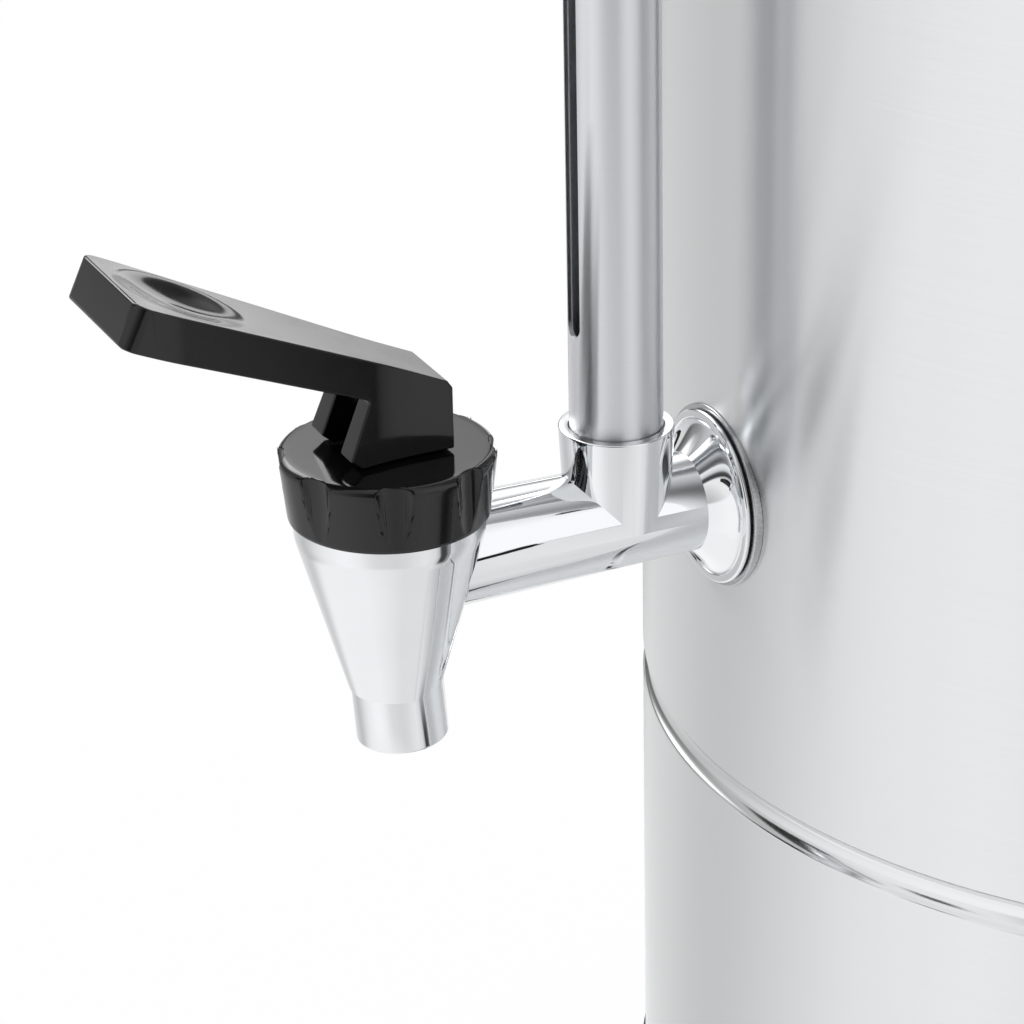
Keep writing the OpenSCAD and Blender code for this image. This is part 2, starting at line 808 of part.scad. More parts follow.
module inlet_screws() {
    color("gray") for (s = [-1, 1])
        translate([s * inlet_screw_x, pad_face + inlet_flange_t, control_z]) rotate([90, 0, 0])
            screw(inlet_screw_r, inlet_flange_t + inlet_screw_l - 1, inlet_head_r, inlet_head_h);
}

// ---------------------------------------------------------------- handles

// One side handle on +X: two legs, a grip, and two pads against the wall
module side_handle() {
    leg_y = handle_span / 2;
    leg_root = body_r * cos(leg_angle) - grip_r;
    bend_x = grip_x - grip_bend;
    color("#17171a") translate([0, 0, handle_height]) difference() {
        union() {
            for (s = [-1, 1]) {
                translate([0, s * leg_y, 0]) rotate([0, 90, 0])
                    rod(grip_r, leg_root, bend_x);
                translate([bend_x, s * (leg_y - grip_bend), 0])
                    rotate([0, 0, s > 0 ? 0 : -90])
                        rotate_extrude(angle = 90) translate([grip_bend, 0])
                            circle(r = grip_r, $fn = small_fn);
                rotate([0, 0, s * leg_angle]) rotate([0, 90, 0])
                    rod(pad_r, body_r - past, body_r + pad_t);
            }
            translate([grip_x, -leg_y + grip_bend, 0]) rotate([-90, 0, 0])
                cylinder(h = handle_span - 2 * grip_bend, r = grip_r);
        }
        translate([0, 0, -handle_height]) wall_cutter(body_r + fit);
        for (s = [-1, 1]) rotate([0, 0, s * leg_angle]) rotate([0, 90, 0])
            rod(handle_screw_r + fit, body_r - past, body_r + handle_screw_l);
    }
}

module handle_right() {
    side_handle();
}

module handle_left() {
    mirror([1, 0, 0]) side_handle();
}

module handle_screws() {
    color("gray") for (side = [90, -90], leg = [-leg_angle, leg_angle])
        radially(side + leg, handle_height) translate([0, 0, inner_r - head_gap])
            screw(handle_screw_r, wall_t + handle_screw_l - 1, screw_head_r, screw_head_h);
}

// ---------------------------------------------------------------- lid

// The dome's height at radius r
function dome_z(r) = lid_crown - lid_sphere_r + sqrt(lid_sphere_r * lid_sphere_r - r * r);

module lid() {
    steps = lid_steps;
    color("silver") difference() {
        rotate_extrude($fn = round_fn) polygon(concat(
            [for (i = [0:steps]) let (r = lid_dome_r * i / steps) [r, dome_z(r)]],
            [[lid_lip_r - lid_edge, lid_dome_base], [lid_lip_r, lid_dome_base - lid_edge],
             [lid_lip_r, rim_height - lid_lip_drop],
             [lid_lip_r - lid_t, rim_height - lid_lip_drop], [lid_lip_r - lid_t, lid_seat],
             [lid_dome_r, lid_seat]],
            [for (i = [steps - 1:-1:0]) let (r = lid_dome_r * i / steps) [r, dome_z(r) - lid_t]]
        ));
        rod(knob_screw_r + fit, lid_crown - past, lid_crown + past);
    }
}

// Angle ring that centres the lid in the tank's mouth, spot welded under its flat rim
module locating_band() {
    color("silver") rotate_extrude($fn = round_fn) polygon([
        [lid_band_r - band_flange, lid_seat], [lid_band_r - band_flange, lid_seat - lid_t],
        [lid_band_r - lid_t, lid_seat - lid_t], [lid_band_r - lid_t, rim_height - lid_band],
        [lid_band_r, rim_height - lid_band], [lid_band_r, lid_seat]
    ]);
}

module lid_knob() {
    knob_r = knob_d / 2;
    top = lid_crown + knob_h;
    color("#17171a") difference() {
        rotate_extrude() polygon(concat(
            [[0, lid_crown], [knob_foot_r, lid_crown], [knob_foot_r, lid_crown + knob_foot_h],
             [knob_waist_r + knob_flare, lid_crown + knob_neck],
             [knob_waist_r, lid_crown + knob_waist],
             [knob_waist_r + knob_flare, lid_crown + knob_h * knob_shoulder]],
            [for (p = arc(0, 0, 1, -50, 90, 2 * round_steps))
                [p[0] * knob_r, top + (p[1] - 1) * knob_h * knob_round]]
        ));
        rod(knob_screw_r + fit, lid_crown - eps, lid_crown + knob_screw_l);
    }
}

module lid_screw() {
    color("gray") translate([0, 0, lid_crown - lid_t - head_gap])
        screw(knob_screw_r, lid_t + knob_screw_l - 1, knob_head_r, knob_head_h);
}

// ---------------------------------------------------------------- arm

// Flange bell, from its back face out to where it meets the arm
module flange_profile() {
    root = flange_r - rim_bead - 0.4;
    face = out_flange + rim_t;
    polygon(concat(
        [[0, out_flange], [flange_r - 0.4, out_flange], [flange_r, out_flange + rim_t * 0.4],
         [flange_r - 0.3, face - 0.1], [flange_r - rim_bead + 0.3, face],
         [flange_r - rim_bead, face - 0.2]],
        [for (i = [0:bell_steps]) let (t = i / bell_steps)
            [root - (root - arm_r_wall) * t, face + flange_bell * pow(t, bell_sweep)]],
        [[0, out_bell]]
    ));
}

module arm_solid() {
    union() {
        on_arm() rotate_extrude() flange_profile();
        on_arm() translate([0, 0, out_bell - eps])
            cylinder(h = out_tap - out_bell + eps, r1 = arm_r_wall, r2 = arm_r_tap);
        on_arm() rod(shank_r, body_r - shank_in, out_flange + bite);
        on_gauge() translate([0, 0, tap_height])
            cylinder(h = socket_rise, r1 = arm_r_gauge + socket_flare, r2 = socket_r);
    }
}

module tap_arm() {
    color("gainsboro") difference() {
        union() {
            difference() {
                arm_solid();
                on_tap() tap_outer(fit);
                on_tap() rod(chamber_r, -shoulder_r, shoulder_r);
            }
            on_arm() rod(spigot_r, out_gauge + spigot_entry, out_tap - spigot_out);
        }
        on_arm() rod(bore_r, body_r - shank_in - eps, out_tap - spigot_out + past);
        on_gauge() rod(socket_bore_r, tap_height + socket_seat, tap_height + socket_rise + eps);
        on_gauge() rod(seal_bore_r, tap_height + seal_foot, tap_height + socket_seat + eps);
        on_gauge() rod(glass_r - glass_t, tap_height, tap_height + seal_foot + eps);
    }
}

// Saddle washer, with a flat face outward and its back curved to the wall
module flange_washer() {
    color("silver") difference() {
        on_arm() rod(washer_r, inner_r - past, out_washer);
        wall_cutter(body_r + fit);
        on_arm() wall_hole(shank_hole_r);
    }
}

module flange_gasket() {
    color("#1b1b1b") on_arm() ring(gasket_r, shank_r + fit, out_washer, out_flange);
}

module tank_gasket() {
    color("#c8c8c4") difference() {
        intersection() {
            on_arm() rod(tank_gasket_r, tank_gasket_in, body_r);
            wall_cutter(inner_r - fit);
        }
        on_arm() wall_hole(shank_r + fit);
    }
}

module tank_nut() {
    color("gold") on_arm() translate([0, 0, tank_gasket_in - nut_t]) difference() {
        cylinder(h = nut_t, r = nut_flats / 2 / cos(30), $fn = 6);
        rod(shank_r + fit, -eps, nut_t + eps);
    }
}

// ---------------------------------------------------------------- tap body

// Outside of the tap body, grown by g
module tap_outer(g) {
    rotate_extrude() polygon(concat(
        [[0, -spout_root], [spout_r + g, -spout_root]],
        arc(shoulder_r - shoulder_round, shoulder_tan_z + shoulder_round * sin(cone_angle),
            shoulder_round + g, -cone_angle, 0, 6),
        [[shoulder_r + g, cap_foot], [0, cap_foot]]
    ));
}

// The leaning spout as a bar of radius r, from its lip up by l
module spout_bar(r, l, past) {
    lip = (spout_drop - spout_root) / cos(spout_lean);
    translate([0, spout_shift, -spout_root]) rotate([spout_lean, 0, 0]) rod(r, -lip - past, -lip + l);
}

module tap_body() {
    color("gainsboro") on_tap() difference() {
        union() {
            tap_outer(0);
            rod(neck_r, cap_foot - bite, neck_top);
            spout_bar(spout_r, spout_drop - spout_root + 3 * bite, 0);
        }
        rod(chamber_r, seat_z, neck_top + eps);
        rod(seat_hole_r, seat_z - seat_l, seat_z + eps);
        spout_bar(spout_bore_r, spout_drop + seat_z - seat_t, eps);
        rotate([-90, 0, 0]) rod(spigot_r + fit, 0, shoulder_r + past);
    }
}

module tap_cap() {
    color("#111113") on_tap() difference() {
        union() {
            difference() {
                rotate_extrude() polygon([
                    [0, cap_foot], [cap_foot_r - edge, cap_foot], [cap_foot_r, cap_foot + edge],
                    [cap_r, cap_top - cap_edge - cap_crown], [cap_r - edge / 2, cap_top - cap_edge],
                    [cap_r - cap_bevel, cap_top - cap_crown], [crown_r, cap_top], [0, cap_top]
                ]);
                rod(neck_r + fit, cap_foot - eps, neck_top + cap_gap);
                for (i = [0:cap_scallops - 1])
                    rotate([0, 0, scallop_turn + 360 / cap_scallops * i])
                        translate([scallop_in + scallop_r, 0, 0])
                            rod(scallop_r, cap_foot - eps, cap_top + eps);
            }
            rod(guide_r, guide_foot, neck_top + cap_gap + bite);
        }
        rod(stem_r + slide_gap, guide_foot - eps, cap_top + eps);
    }
}

// ---------------------------------------------------------------- lever and valve

// Side view of the lever: x is u and y is v
module lever_side() {
    polygon(concat(
        [[foot_back_u + heel_chamfer, foot_v]],
        arc(cam_u, foot_v + foot_round, foot_round, -90, front_lean, 8),
        [[front_top_u, front_top_v],
         [tip_bottom_u, tip_bottom_v], [tip_top_u, tip_top_v],
         [foot_back_u + heel_chamfer, heel_v + heel_chamfer * tan(lever_angle)],
         [foot_back_u, heel_v - heel_chamfer], [foot_back_u, foot_v + heel_chamfer]]
    ));
}

// Plan of the lever: x is u and y is the half width
module lever_plan() {
    us = concat(
        [for (i = [0:paddle_steps]) paddle_start + (paddle_full - paddle_start) * i / paddle_steps],
        [lever_reach - tip_round]);
    tip = lever_half(lever_reach);
    polygon(concat(
        [[foot_back_u - eps, lever_half(foot_back_u)]],
        [for (u = us) [u, lever_half(u)]],
        [[lever_reach + eps, tip - tip_round], [lever_reach + eps, tip_round - tip]],
        [for (i = [len(us) - 1:-1:0]) [us[i], -lever_half(us[i])]],
        [[foot_back_u - eps, -lever_half(foot_back_u)]]
    ));
}

module tap_lever() {
    wide = lever_tip_w + 2;
    scoop_u = tip_top_u - scoop_back * cos(lever_angle);
    scoop_v = tip_top_v - scoop_back * sin(lever_angle);
    color("#101012") on_tap() difference() {
        intersection() {
            translate([wide / 2, 0, 0]) rotate([90, 0, -90]) linear_extrude(height = wide) lever_side();
            rotate([0, 0, -90]) linear_extrude(height = tip_top_v + past) lever_plan();
        }
        translate([fork_gap / 2, 0, 0]) rotate([90, 0, -90]) linear_extrude(height = fork_gap)
            polygon([[fork_back_u, foot_v - eps], [fork_front_u, foot_v - eps],
                     [fork_front_u, under_v(fork_front_u)], [fork_back_u, under_v(fork_back_u)]]);
        translate([0, 0, pin_v]) rotate([0, 90, 0])
            rod(pin_r + pin_fit, -pin_reach - pin_end, pin_reach + pin_end);
        translate([0, -scoop_u - (scoop_r - scoop_depth) * -sin(lever_angle),
                   scoop_v + (scoop_r - scoop_depth) * cos(lever_angle)]) sphere(r = scoop_r);
    }
}

module lever_pin() {
    color("silver") on_tap() translate([0, 0, pin_v]) rotate([0, 90, 0])
        rod(pin_r, -pin_reach, pin_reach);
}

module valve_stem() {
    color("silver") on_tap() difference() {
        union() {
            rod(stem_r, barb_foot + bite, pin_v - bite);
            rod(barb_r, barb_foot, barb_top);
            translate([0, 0, pin_v]) rotate([0, 90, 0])
                rod(stem_head_r, -stem_head_w / 2, stem_head_w / 2);
        }
        translate([0, 0, pin_v]) rotate([0, 90, 0])
            rod(pin_r + slide_gap, -stem_head_w / 2 - eps, stem_head_w / 2 + eps);
    }
}

module valve_cup() {
    color("#d9d4cc") on_tap() difference() {
        rotate_extrude() polygon([
            [0, cup_foot], [cup_r - edge, cup_foot], [cup_r, cup_foot + edge],
            [cup_r, cup_foot + cup_edge], [cup_r - cup_slope, cup_top], [0, cup_top]
        ]);
        rod(stem_r + fit, barb_foot, cup_top + eps);
        rod(barb_r + fit, barb_foot - fit, barb_top + fit);
    }
}

// The closing spring: a round wire swept along a helix
module tap_spring() {
    rings = spring_turns * spring_rings;
    z0 = spring_foot + spring_wire_r;
    pitch = (spring_head - spring_foot - 2 * spring_wire_r) / spring_turns;
    points = [for (i = [0:rings], j = [0:spring_sides - 1])
        let (a = 360 * i / spring_rings, b = 360 * j / spring_sides,
             r = spring_r + spring_wire_r * cos(b))
        [r * cos(a), r * sin(a), z0 + pitch * i / spring_rings + spring_wire_r * sin(b)]];
    sides = [for (i = [0:rings - 1], j = [0:spring_sides - 1])
        let (k = (j + 1) % spring_sides)
        [i * spring_sides + j, (i + 1) * spring_sides + j,
         (i + 1) * spring_sides + k, i * spring_sides + k]];
    ends = [[for (j = [0:spring_sides - 1]) j],
            [for (j = [spring_sides - 1:-1:0]) rings * spring_sides + j]];
    color("lightsteelblue") on_tap() polyhedron(points, concat(sides, ends));
}

// ---------------------------------------------------------------- sight gauge

module gauge_sheath() {
    slot_foot = tap_height + slot_start + slot_w / 2;
    slot_head = collar_z - slot_clear;
    color("silver") on_gauge() difference() {
        ring(sheath_r, sheath_r - sheath_t, sheath_foot, gauge_top);
        translate([-slot_w / 2, -sheath_r - eps, slot_foot])
            cube([slot_w, sheath_r, slot_head - slot_foot]);
        for (z = [slot_foot, slot_head])
            translate([0, 0, z]) rotate([90, 0, 0]) rod(slot_w / 2, eps, sheath_r + eps);
    }
}

module sight_glass() {
    color("lightcyan") on_gauge() ring(glass_r, glass_r - glass_t, glass_foot, glass_head);
}

// A seal ring round the sight glass
module seal(r_out, z0) {
    color("#e4e1da") on_gauge() rotate_extrude() polygon([
        [glass_r + fit, z0], [r_out - seal_edge, z0], [r_out, z0 + seal_edge],
        [r_out, z0 + seal_h - seal_edge], [r_out - seal_edge, z0 + seal_h],
        [glass_r + fit, z0 + seal_h]
    ]);
}

module lower_seal() {
    seal(seal_bore_r - fit, glass_foot);
}

module upper_seal() {
    seal(sheath_r - sheath_t - fit, glass_head - seal_h - bite);
}

module gauge_cap() {
    foot = gauge_top - cap_skirt;
    r = sheath_r + fit + cap_wall;
    color("#17171a") on_gauge() difference() {
        rotate_extrude() polygon(concat(
            [[0, foot], [r, foot]],
            [for (p = arc(0, 0, 1, 0, 90, round_steps)) [p[0] * r, gauge_top + bite + p[1] * cap_dome]]
        ));
        rod(sheath_r + fit, foot - eps, gauge_top);
        rod(vent_r, gauge_top - eps, gauge_top + bite + cap_dome + eps);
    }
}

module gauge_bracket() {
    color("gainsboro") difference() {
        union() {
            on_gauge() rod(sheath_r + fit + collar_t, collar_z, collar_z + collar_h);
            radially(0, collar_z + collar_h / 2) rod(strut_r, inner_r, out_gauge);
            radially(0, collar_z + collar_h / 2) rod(strut_foot_r, inner_r, body_r + strut_foot_t);
        }
        on_gauge() rod(sheath_r + fit, collar_z - eps, collar_z + collar_h + eps);
        wall_cutter(body_r + fit);
        radially(0, collar_z + collar_h / 2)
            rod(bracket_screw_r + fit, body_r - past, body_r + bracket_screw_l);
    }
}

module bracket_screw() {
    color("gray") radially(0, collar_z + collar_h / 2) translate([0, 0, inner_r - head_gap])
        screw(bracket_screw_r, wall_t + bracket_screw_l - 1, screw_head_r, screw_head_h);
}

body_shell();
tank_bottom();
base_ring();
base_plate();
plate_screws();
foot_ring();
heater_plate();
heating_element();
thermostat();
thermal_cutout();
switch_housing();
switch_rocker();
lamp_holder();
lamp_lens();
power_inlet();
inlet_pins();
inlet_screws();
handle_left();
handle_right();
handle_screws();
lid();
locating_band();
lid_knob();
lid_screw();
tap_arm();
flange_gasket();
flange_washer();
tank_gasket();
tank_nut();
tap_body();
tap_cap();
tap_lever();
lever_pin();
valve_stem();
valve_cup();
tap_spring();
gauge_sheath();
sight_glass();
lower_seal();
upper_seal();
gauge_cap();
gauge_bracket();
bracket_screw();
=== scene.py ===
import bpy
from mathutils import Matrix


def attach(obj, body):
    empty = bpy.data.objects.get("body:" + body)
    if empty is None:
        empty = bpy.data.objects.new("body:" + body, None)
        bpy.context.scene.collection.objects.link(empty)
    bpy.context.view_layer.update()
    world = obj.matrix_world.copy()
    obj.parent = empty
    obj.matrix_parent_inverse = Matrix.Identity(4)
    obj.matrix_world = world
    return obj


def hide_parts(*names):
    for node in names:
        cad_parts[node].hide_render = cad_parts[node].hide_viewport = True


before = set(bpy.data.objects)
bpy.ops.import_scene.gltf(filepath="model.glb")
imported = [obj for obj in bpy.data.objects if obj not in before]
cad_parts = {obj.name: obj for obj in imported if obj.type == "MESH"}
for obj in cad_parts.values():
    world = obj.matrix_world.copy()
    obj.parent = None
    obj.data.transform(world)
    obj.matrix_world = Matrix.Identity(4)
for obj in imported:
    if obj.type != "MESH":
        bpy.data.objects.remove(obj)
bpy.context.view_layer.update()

import math

import bpy
from mathutils import Matrix, Vector

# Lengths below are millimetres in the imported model's own frame: Z is up, the origin is on
# the table under the tank's axis, and the tap points along -Y.
MM = 0.001
TINY = 0.001

# The tank: its wall outside and inside, its rim, and the groove rolled into it
WALL_R = 125.8
WALL_IN_R = 125.0
RIM_Z = 476.0
GROOVE_Z = 133.1
GROOVE_HALF = 3.4
GROOVE_DEPTH = 2.0
# The tap arm's height, and how far out the axes of the tap and of the gauge stand
TAP_HEIGHT = 194.0
OUT_TAP = 192.9
OUT_GAUGE = 146.2
# Play between the wall and what sits on it
WALL_PLAY = 0.05

# ------------------------------------------------------------------ modelling tools


def start():
    """Leaves edit mode with nothing selected."""
    if bpy.context.mode != "OBJECT":
        bpy.ops.object.mode_set(mode="OBJECT")
    bpy.ops.object.select_all(action="DESELECT")


def take(obj):
    """Makes one piece the selected and active one."""
    start()
    obj.select_set(True)
    bpy.context.view_layer.objects.active = obj


def arc(cx, cy, r, first, last, steps):
    """Points along an arc, with its angles in degrees."""
    turns = [math.radians(first + (last - first) * i / steps) for i in range(steps + 1)]
    return [(cx + r * math.cos(a), cy + r * math.sin(a)) for a in turns]


def swelling(r, z, rise, angles):
    """Points along the side of a flattened ball of radius r that rises above the height z."""
    turns = [math.radians(a) for a in angles]
    return [(r * math.cos(a), z + rise * math.sin(a)) for a in turns]


def rounded_corner(before, corner, after, r, steps=5):
    """Points that round one corner of an outline with a radius r."""
    a = (Vector(before) - Vector(corner)).normalized()
    b = (Vector(after) - Vector(corner)).normalized()
    half = a.angle(b) / 2
    reach = r / math.tan(half)
    centre = Vector(corner) + (a + b).normalized() * (r / math.sin(half))
    first = Vector(corner) + a * reach - centre
    last = Vector(corner) + b * reach - centre
    points = []
    for i in range(steps + 1):
        mix = (first * (steps - i) + last * i) / steps
        points.append(tuple(centre + mix.normalized() * r))
    return points


def softened(outline, r, steps=4, closed=True):
    """An outline with every corner rounded; r may be one radius or one for each corner."""
    n = len(outline)
    points = []
    for i, corner in enumerate(outline):
        radius = r[i] if isinstance(r, (list, tuple)) else r
        if radius <= 0 or (not closed and i in (0, n - 1)):
            points.append(tuple(corner))
        else:
            points += rounded_corner(outline[i - 1], corner, outline[(i + 1) % n], radius, steps)
    return points


def turned(name, profile, steps=192):
    """Turns (radius, height) points about Z. A radius of 0 closes the piece on its axis."""
    start()
    r, z = max(profile[0][0], TINY), profile[0][1]
    bpy.ops.mesh.primitive_circle_add(vertices=steps, radius=r * MM, location=(0, 0, 0))
    obj = bpy.context.object
    obj.name = name
    bpy.ops.object.mode_set(mode="EDIT")
    bpy.ops.mesh.select_all(action="SELECT")
    bpy.ops.transform.translate(value=(0, 0, z * MM))
    for r1, z1 in profile[1:]:
        r1 = max(r1, TINY)
        bpy.ops.mesh.extrude_region_move(TRANSFORM_OT_translate={"value": (0, 0, (z1 - z) * MM)})
        bpy.ops.transform.resize(value=(r1 / r, r1 / r, 1), center_override=(0, 0, z1 * MM))
        r, z = r1, z1
    bpy.ops.mesh.select_all(action="SELECT")
    bpy.ops.mesh.remove_doubles(threshold=2 * TINY * MM)
    bpy.ops.mesh.normals_make_consistent(inside=False)
    start()
    return obj


def ring(name, outline, steps=192):
    """Turns a closed outline of (radius, height) points that stays clear of the axis."""
    return turned(name, list(outline) + [outline[0]], steps)


def rod(name, r, low, high, steps=96):
    """A solid bar of round section along Z."""
    return turned(name, [(0, low), (r, low), (r, high), (0, high)], steps)


def drawn(name, outline, low, high):
    """Draws an outline point by point, fills it and pulls it up from low to high."""
    start()
    bpy.ops.mesh.primitive_plane_add(size=MM, location=(0, 0, 0))
    obj = bpy.context.object
    obj.name = name
    bpy.ops.object.mode_set(mode="EDIT")
    bpy.ops.mesh.select_all(action="SELECT")
    bpy.ops.mesh.merge(type="CENTER")
    x, y = outline[0]
    bpy.ops.transform.translate(value=(x * MM, y * MM, low * MM))
    for x1, y1 in list(outline[1:]) + [outline[0]]:
        step = ((x1 - x) * MM, (y1 - y) * MM, 0)
        bpy.ops.mesh.extrude_vertices_move(TRANSFORM_OT_translate={"value": step})
        x, y = x1, y1
    bpy.ops.mesh.select_all(action="SELECT")
    bpy.ops.mesh.remove_doubles(threshold=TINY * MM)
    bpy.ops.mesh.edge_face_add()
    bpy.ops.mesh.extrude_region_move(TRANSFORM_OT_translate={"value": (0, 0, (high - low) * MM)})
    bpy.ops.mesh.select_all(action="SELECT")
    bpy.ops.mesh.normals_make_consistent(inside=False)
    start()
    return obj


def placed(obj, turn=None, at=(0, 0, 0)):
    """Turns a piece about the origin, moves it, and keeps its place in its mesh."""
    take(obj)
    matrix = Matrix.Translation(Vector(at) * MM)
    obj.matrix_world = matrix @ turn if turn else matrix
    bpy.ops.object.transform_apply(location=True, rotation=True, scale=True)
    return obj


def about(axis, angle):
    """A turn about one of the axes, in degrees."""
    return Matrix.Rotation(math.radians(angle), 4, axis)


def outward(obj, angle=0.0, height=TAP_HEIGHT):
    """Lays a piece's Z axis along -Y, turned by an angle round the tank, at a height."""
    return placed(obj, about("Z", angle) @ about("X", 90), (0, 0, height))


def combined(obj, tool, how):
    """Joins, cuts or crosses a piece with a tool piece, which is used up."""
    take(obj)
    step = obj.modifiers.new("Combine", "BOOLEAN")
    step.operation = how
    # the exact solver leaves a piece open or untrimmed now and then, and this one doesn't
    step.solver = "MANIFOLD"
    step.object = tool
    bpy.ops.object.modifier_apply(modifier=step.name)
    bpy.data.objects.remove(tool)
    return obj


def cut(obj, *tools):
    """Cuts tool pieces out of a piece."""
    for tool in tools:
        combined(obj, tool, "DIFFERENCE")
    return obj


def joined(obj, *tools):
    """Joins tool pieces to a piece."""
    for tool in tools:
        combined(obj, tool, "UNION")
    return obj


def bevelled(obj, width, steps=3, angle=30):
    """Rounds the edges that are sharper than an angle."""
    take(obj)
    step = obj.modifiers.new("Round", "BEVEL")
    step.width = width * MM
    step.segments = steps
    step.limit_method = "ANGLE"
    step.angle_limit = math.radians(angle)
    step.use_clamp_overlap = False
    bpy.ops.object.modifier_apply(modifier=step.name)
    return obj


def finished(obj, material, body, slot, *nodes, angle=32, flat=False):
    """Smooths a piece, gives it its material, and hands it over to its body."""
    take(obj)
    bpy.ops.object.shade_smooth_by_angle(angle=math.radians(angle))
    if flat:
        # large faces stay flat right up to their rounded edges
        step = obj.modifiers.new("Flat", "WEIGHTED_NORMAL")
        step.keep_sharp = True
        bpy.ops.object.modifier_apply(modifier=step.name)
    obj.data.materials.clear()
    obj.data.materials.append(material)
    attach(obj, body)
    if nodes:
        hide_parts(*nodes)
    return obj


# ------------------------------------------------------------------ materials


def linear(code):
    """An sRGB hex colour as linear RGBA."""
    values = [int(code[i : i + 2], 16) / 255 for i in (1, 3, 5)]
    return [v / 12.92 if v <= 0.04045 else ((v + 0.055) / 1.055) ** 2.4 for v in values] + [1.0]


def add(tree, kind, inputs=None, **settings):
    """Adds one shader node with its settings and its inputs, which are values or sockets."""
    item = tree.nodes.new("ShaderNode" + kind)
    for name, value in settings.items():
        setattr(item, name, value)
    for name, value in (inputs or {}).items():
        if isinstance(value, bpy.types.NodeSocket):
            tree.links.new(value, item.inputs[name])
        else:
            item.inputs[name].default_value = value
    return item


def blank(name):
    """A new material with its node tree emptied."""
    material = bpy.data.materials.new(name)
    material.use_nodes = True
    material.node_tree.nodes.clear()
    return material, material.node_tree


def closed_tree(tree, shader):
    """Ends a material's tree with its shader."""
    add(tree, "OutputMaterial", {"Surface": shader})


def grain(tree, size, detail=3.0):
    """Noise on Object coordinates; its size in mm is one number, or one each for X, Y and Z."""
    sizes = size if isinstance(size, tuple) else (size, size, size)
    place = add(tree, "TexCoord")
    mapped = add(tree, "Mapping", {"Vector": place.outputs["Object"],
                                   "Scale": [1 / (part * MM) for part in sizes]})
    noise = add(tree, "TexNoise", {"Vector": mapped.outputs["Vector"], "Scale": 1.0,
                                   "Detail": detail, "Roughness": 0.55})
    return noise.outputs["Fac"]


def between(tree, value, low, high):
    """Spreads noise, which keeps near 0.5, between two values."""
    spread = add(tree, "MapRange", {"Value": value, "From Min": 0.3, "From Max": 0.7,
                                    "To Min": low, "To Max": high})
    return spread.outputs["Result"]


def two_tone(tree, value, dark, light):
    """A colour between two hex colours."""
    mix = add(tree, "Mix", {"Factor": value, 6: linear(dark), 7: linear(light)}, data_type="RGBA")
    return mix.outputs[2]


def surface(name, dark, light, size, rough, bump=None, metal=0.0, detail=3.0, round_z=False,
            **shader):
    """A surface whose colour and roughness follow one grain of a size in mm.

    A bump is a strength and a depth in mm. With round_z the finish is brushed round the
    piece's upright axis."""
    material, tree = blank(name)
    fac = grain(tree, size, detail)
    tone = between(tree, fac, 0.0, 1.0)
    inputs = {"Base Color": two_tone(tree, tone, dark, light), "Metallic": metal,
              "Roughness": between(tree, fac, *rough)}
    inputs.update(shader)
    if bump:
        strength, depth = bump
        relief = add(tree, "Bump", {"Height": fac, "Strength": strength, "Distance": depth * MM})
        inputs["Normal"] = relief.outputs["Normal"]
    if round_z:
        inputs["Anisotropic"] = 1.0
        inputs["Anisotropic Rotation"] = 0.25
        inputs["Tangent"] = add(tree, "Tangent", direction_type="RADIAL", axis="Z").outputs[0]
    closed_tree(tree, add(tree, "BsdfPrincipled", inputs).outputs["BSDF"])
    return material


def refinished(material, where, rough):
    """Where a socket is 1 the surface has a roughness of its own and isn't brushed."""
    tree = material.node_tree
    shader = next(item for item in tree.nodes if item.type == "BSDF_PRINCIPLED")
    brushed = shader.inputs["Roughness"].links[0].from_socket
    finish = add(tree, "Mix", {"Factor": where, 2: brushed, 3: rough}, data_type="FLOAT")
    left = add(tree, "Math", {0: 1.0, 1: where}, operation="SUBTRACT").outputs[0]
    tree.links.new(finish.outputs[0], shader.inputs["Roughness"])
    tree.links.new(left, shader.inputs["Anisotropic"])


def rolled_bright(material, low, high, rough):
    """Between two heights the surface is burnished smooth by rolls."""
    tree = material.node_tree
    place = add(tree, "TexCoord").outputs["Object"]
    height = add(tree, "SeparateXYZ", {"Vector": place}).outputs["Z"]
    inside = add(tree, "Math", {0: height, 1: (low + high) / 2 * MM, 2: (high - low) / 2 * MM},
                 operation="COMPARE").outputs[0]
    refinished(material, inside, rough)


def dull_bore(material, out, r, rough):
    """Within a radius of an upright axis, out along -Y, the surface is left as drawn and dull."""
    tree = material.node_tree
    place = add(tree, "TexCoord").outputs["Object"]
    flat = add(tree, "Mapping", {"Vector": place, "Location": (0, out * MM, 0),
                                 "Scale": (1, 1, 0)}).outputs["Vector"]
    away = add(tree, "VectorMath", {0: flat}, operation="LENGTH").outputs["Value"]
    inside = add(tree, "Math", {0: away, 1: r * MM}, operation="LESS_THAN").outputs[0]
    refinished(material, inside, rough)


def painted_pale_glow_far_off(material, distance):
    """Painted glow: seen in a mirror from further off than a distance, the surface emits pale
    light, as pale as the studio, in place of its dark reflection.
    """
    tree = material.node_tree
    shader = next(item for item in tree.nodes if item.type == "BSDF_PRINCIPLED")
    path = add(tree, "LightPath").outputs
    far = add(tree, "Math", {0: path["Ray Length"], 1: distance * MM},
              operation="GREATER_THAN").outputs[0]
    glow = add(tree, "Math", {0: path["Is Glossy Ray"], 1: far}, operation="MULTIPLY").outputs[0]
    # painted glow: pale emission only where the surface is mirrored from afar
    tree.links.new(glow, shader.inputs["Emission Strength"])
    shader.inputs["Emission Color"].default_value = linear("#f4f4f4")


# Satin 304 stainless sheet, brushed round the tank: scratches too fine to see one by one
# spread reflections far up and down and leave them sharp sideways. The groove, rolled in
# afterwards, is burnished and mirrors crisply
tank_steel = surface("Stainless 304, brushed sheet", "#e6e7e8", "#e8e9ea", (125, 125, 0.4),
                     (0.268, 0.272), metal=1.0, detail=2.0, round_z=True)
rolled_bright(tank_steel, GROOVE_Z - GROOVE_HALF - 0.3, GROOVE_Z + GROOVE_HALF + 0.1, 0.14)
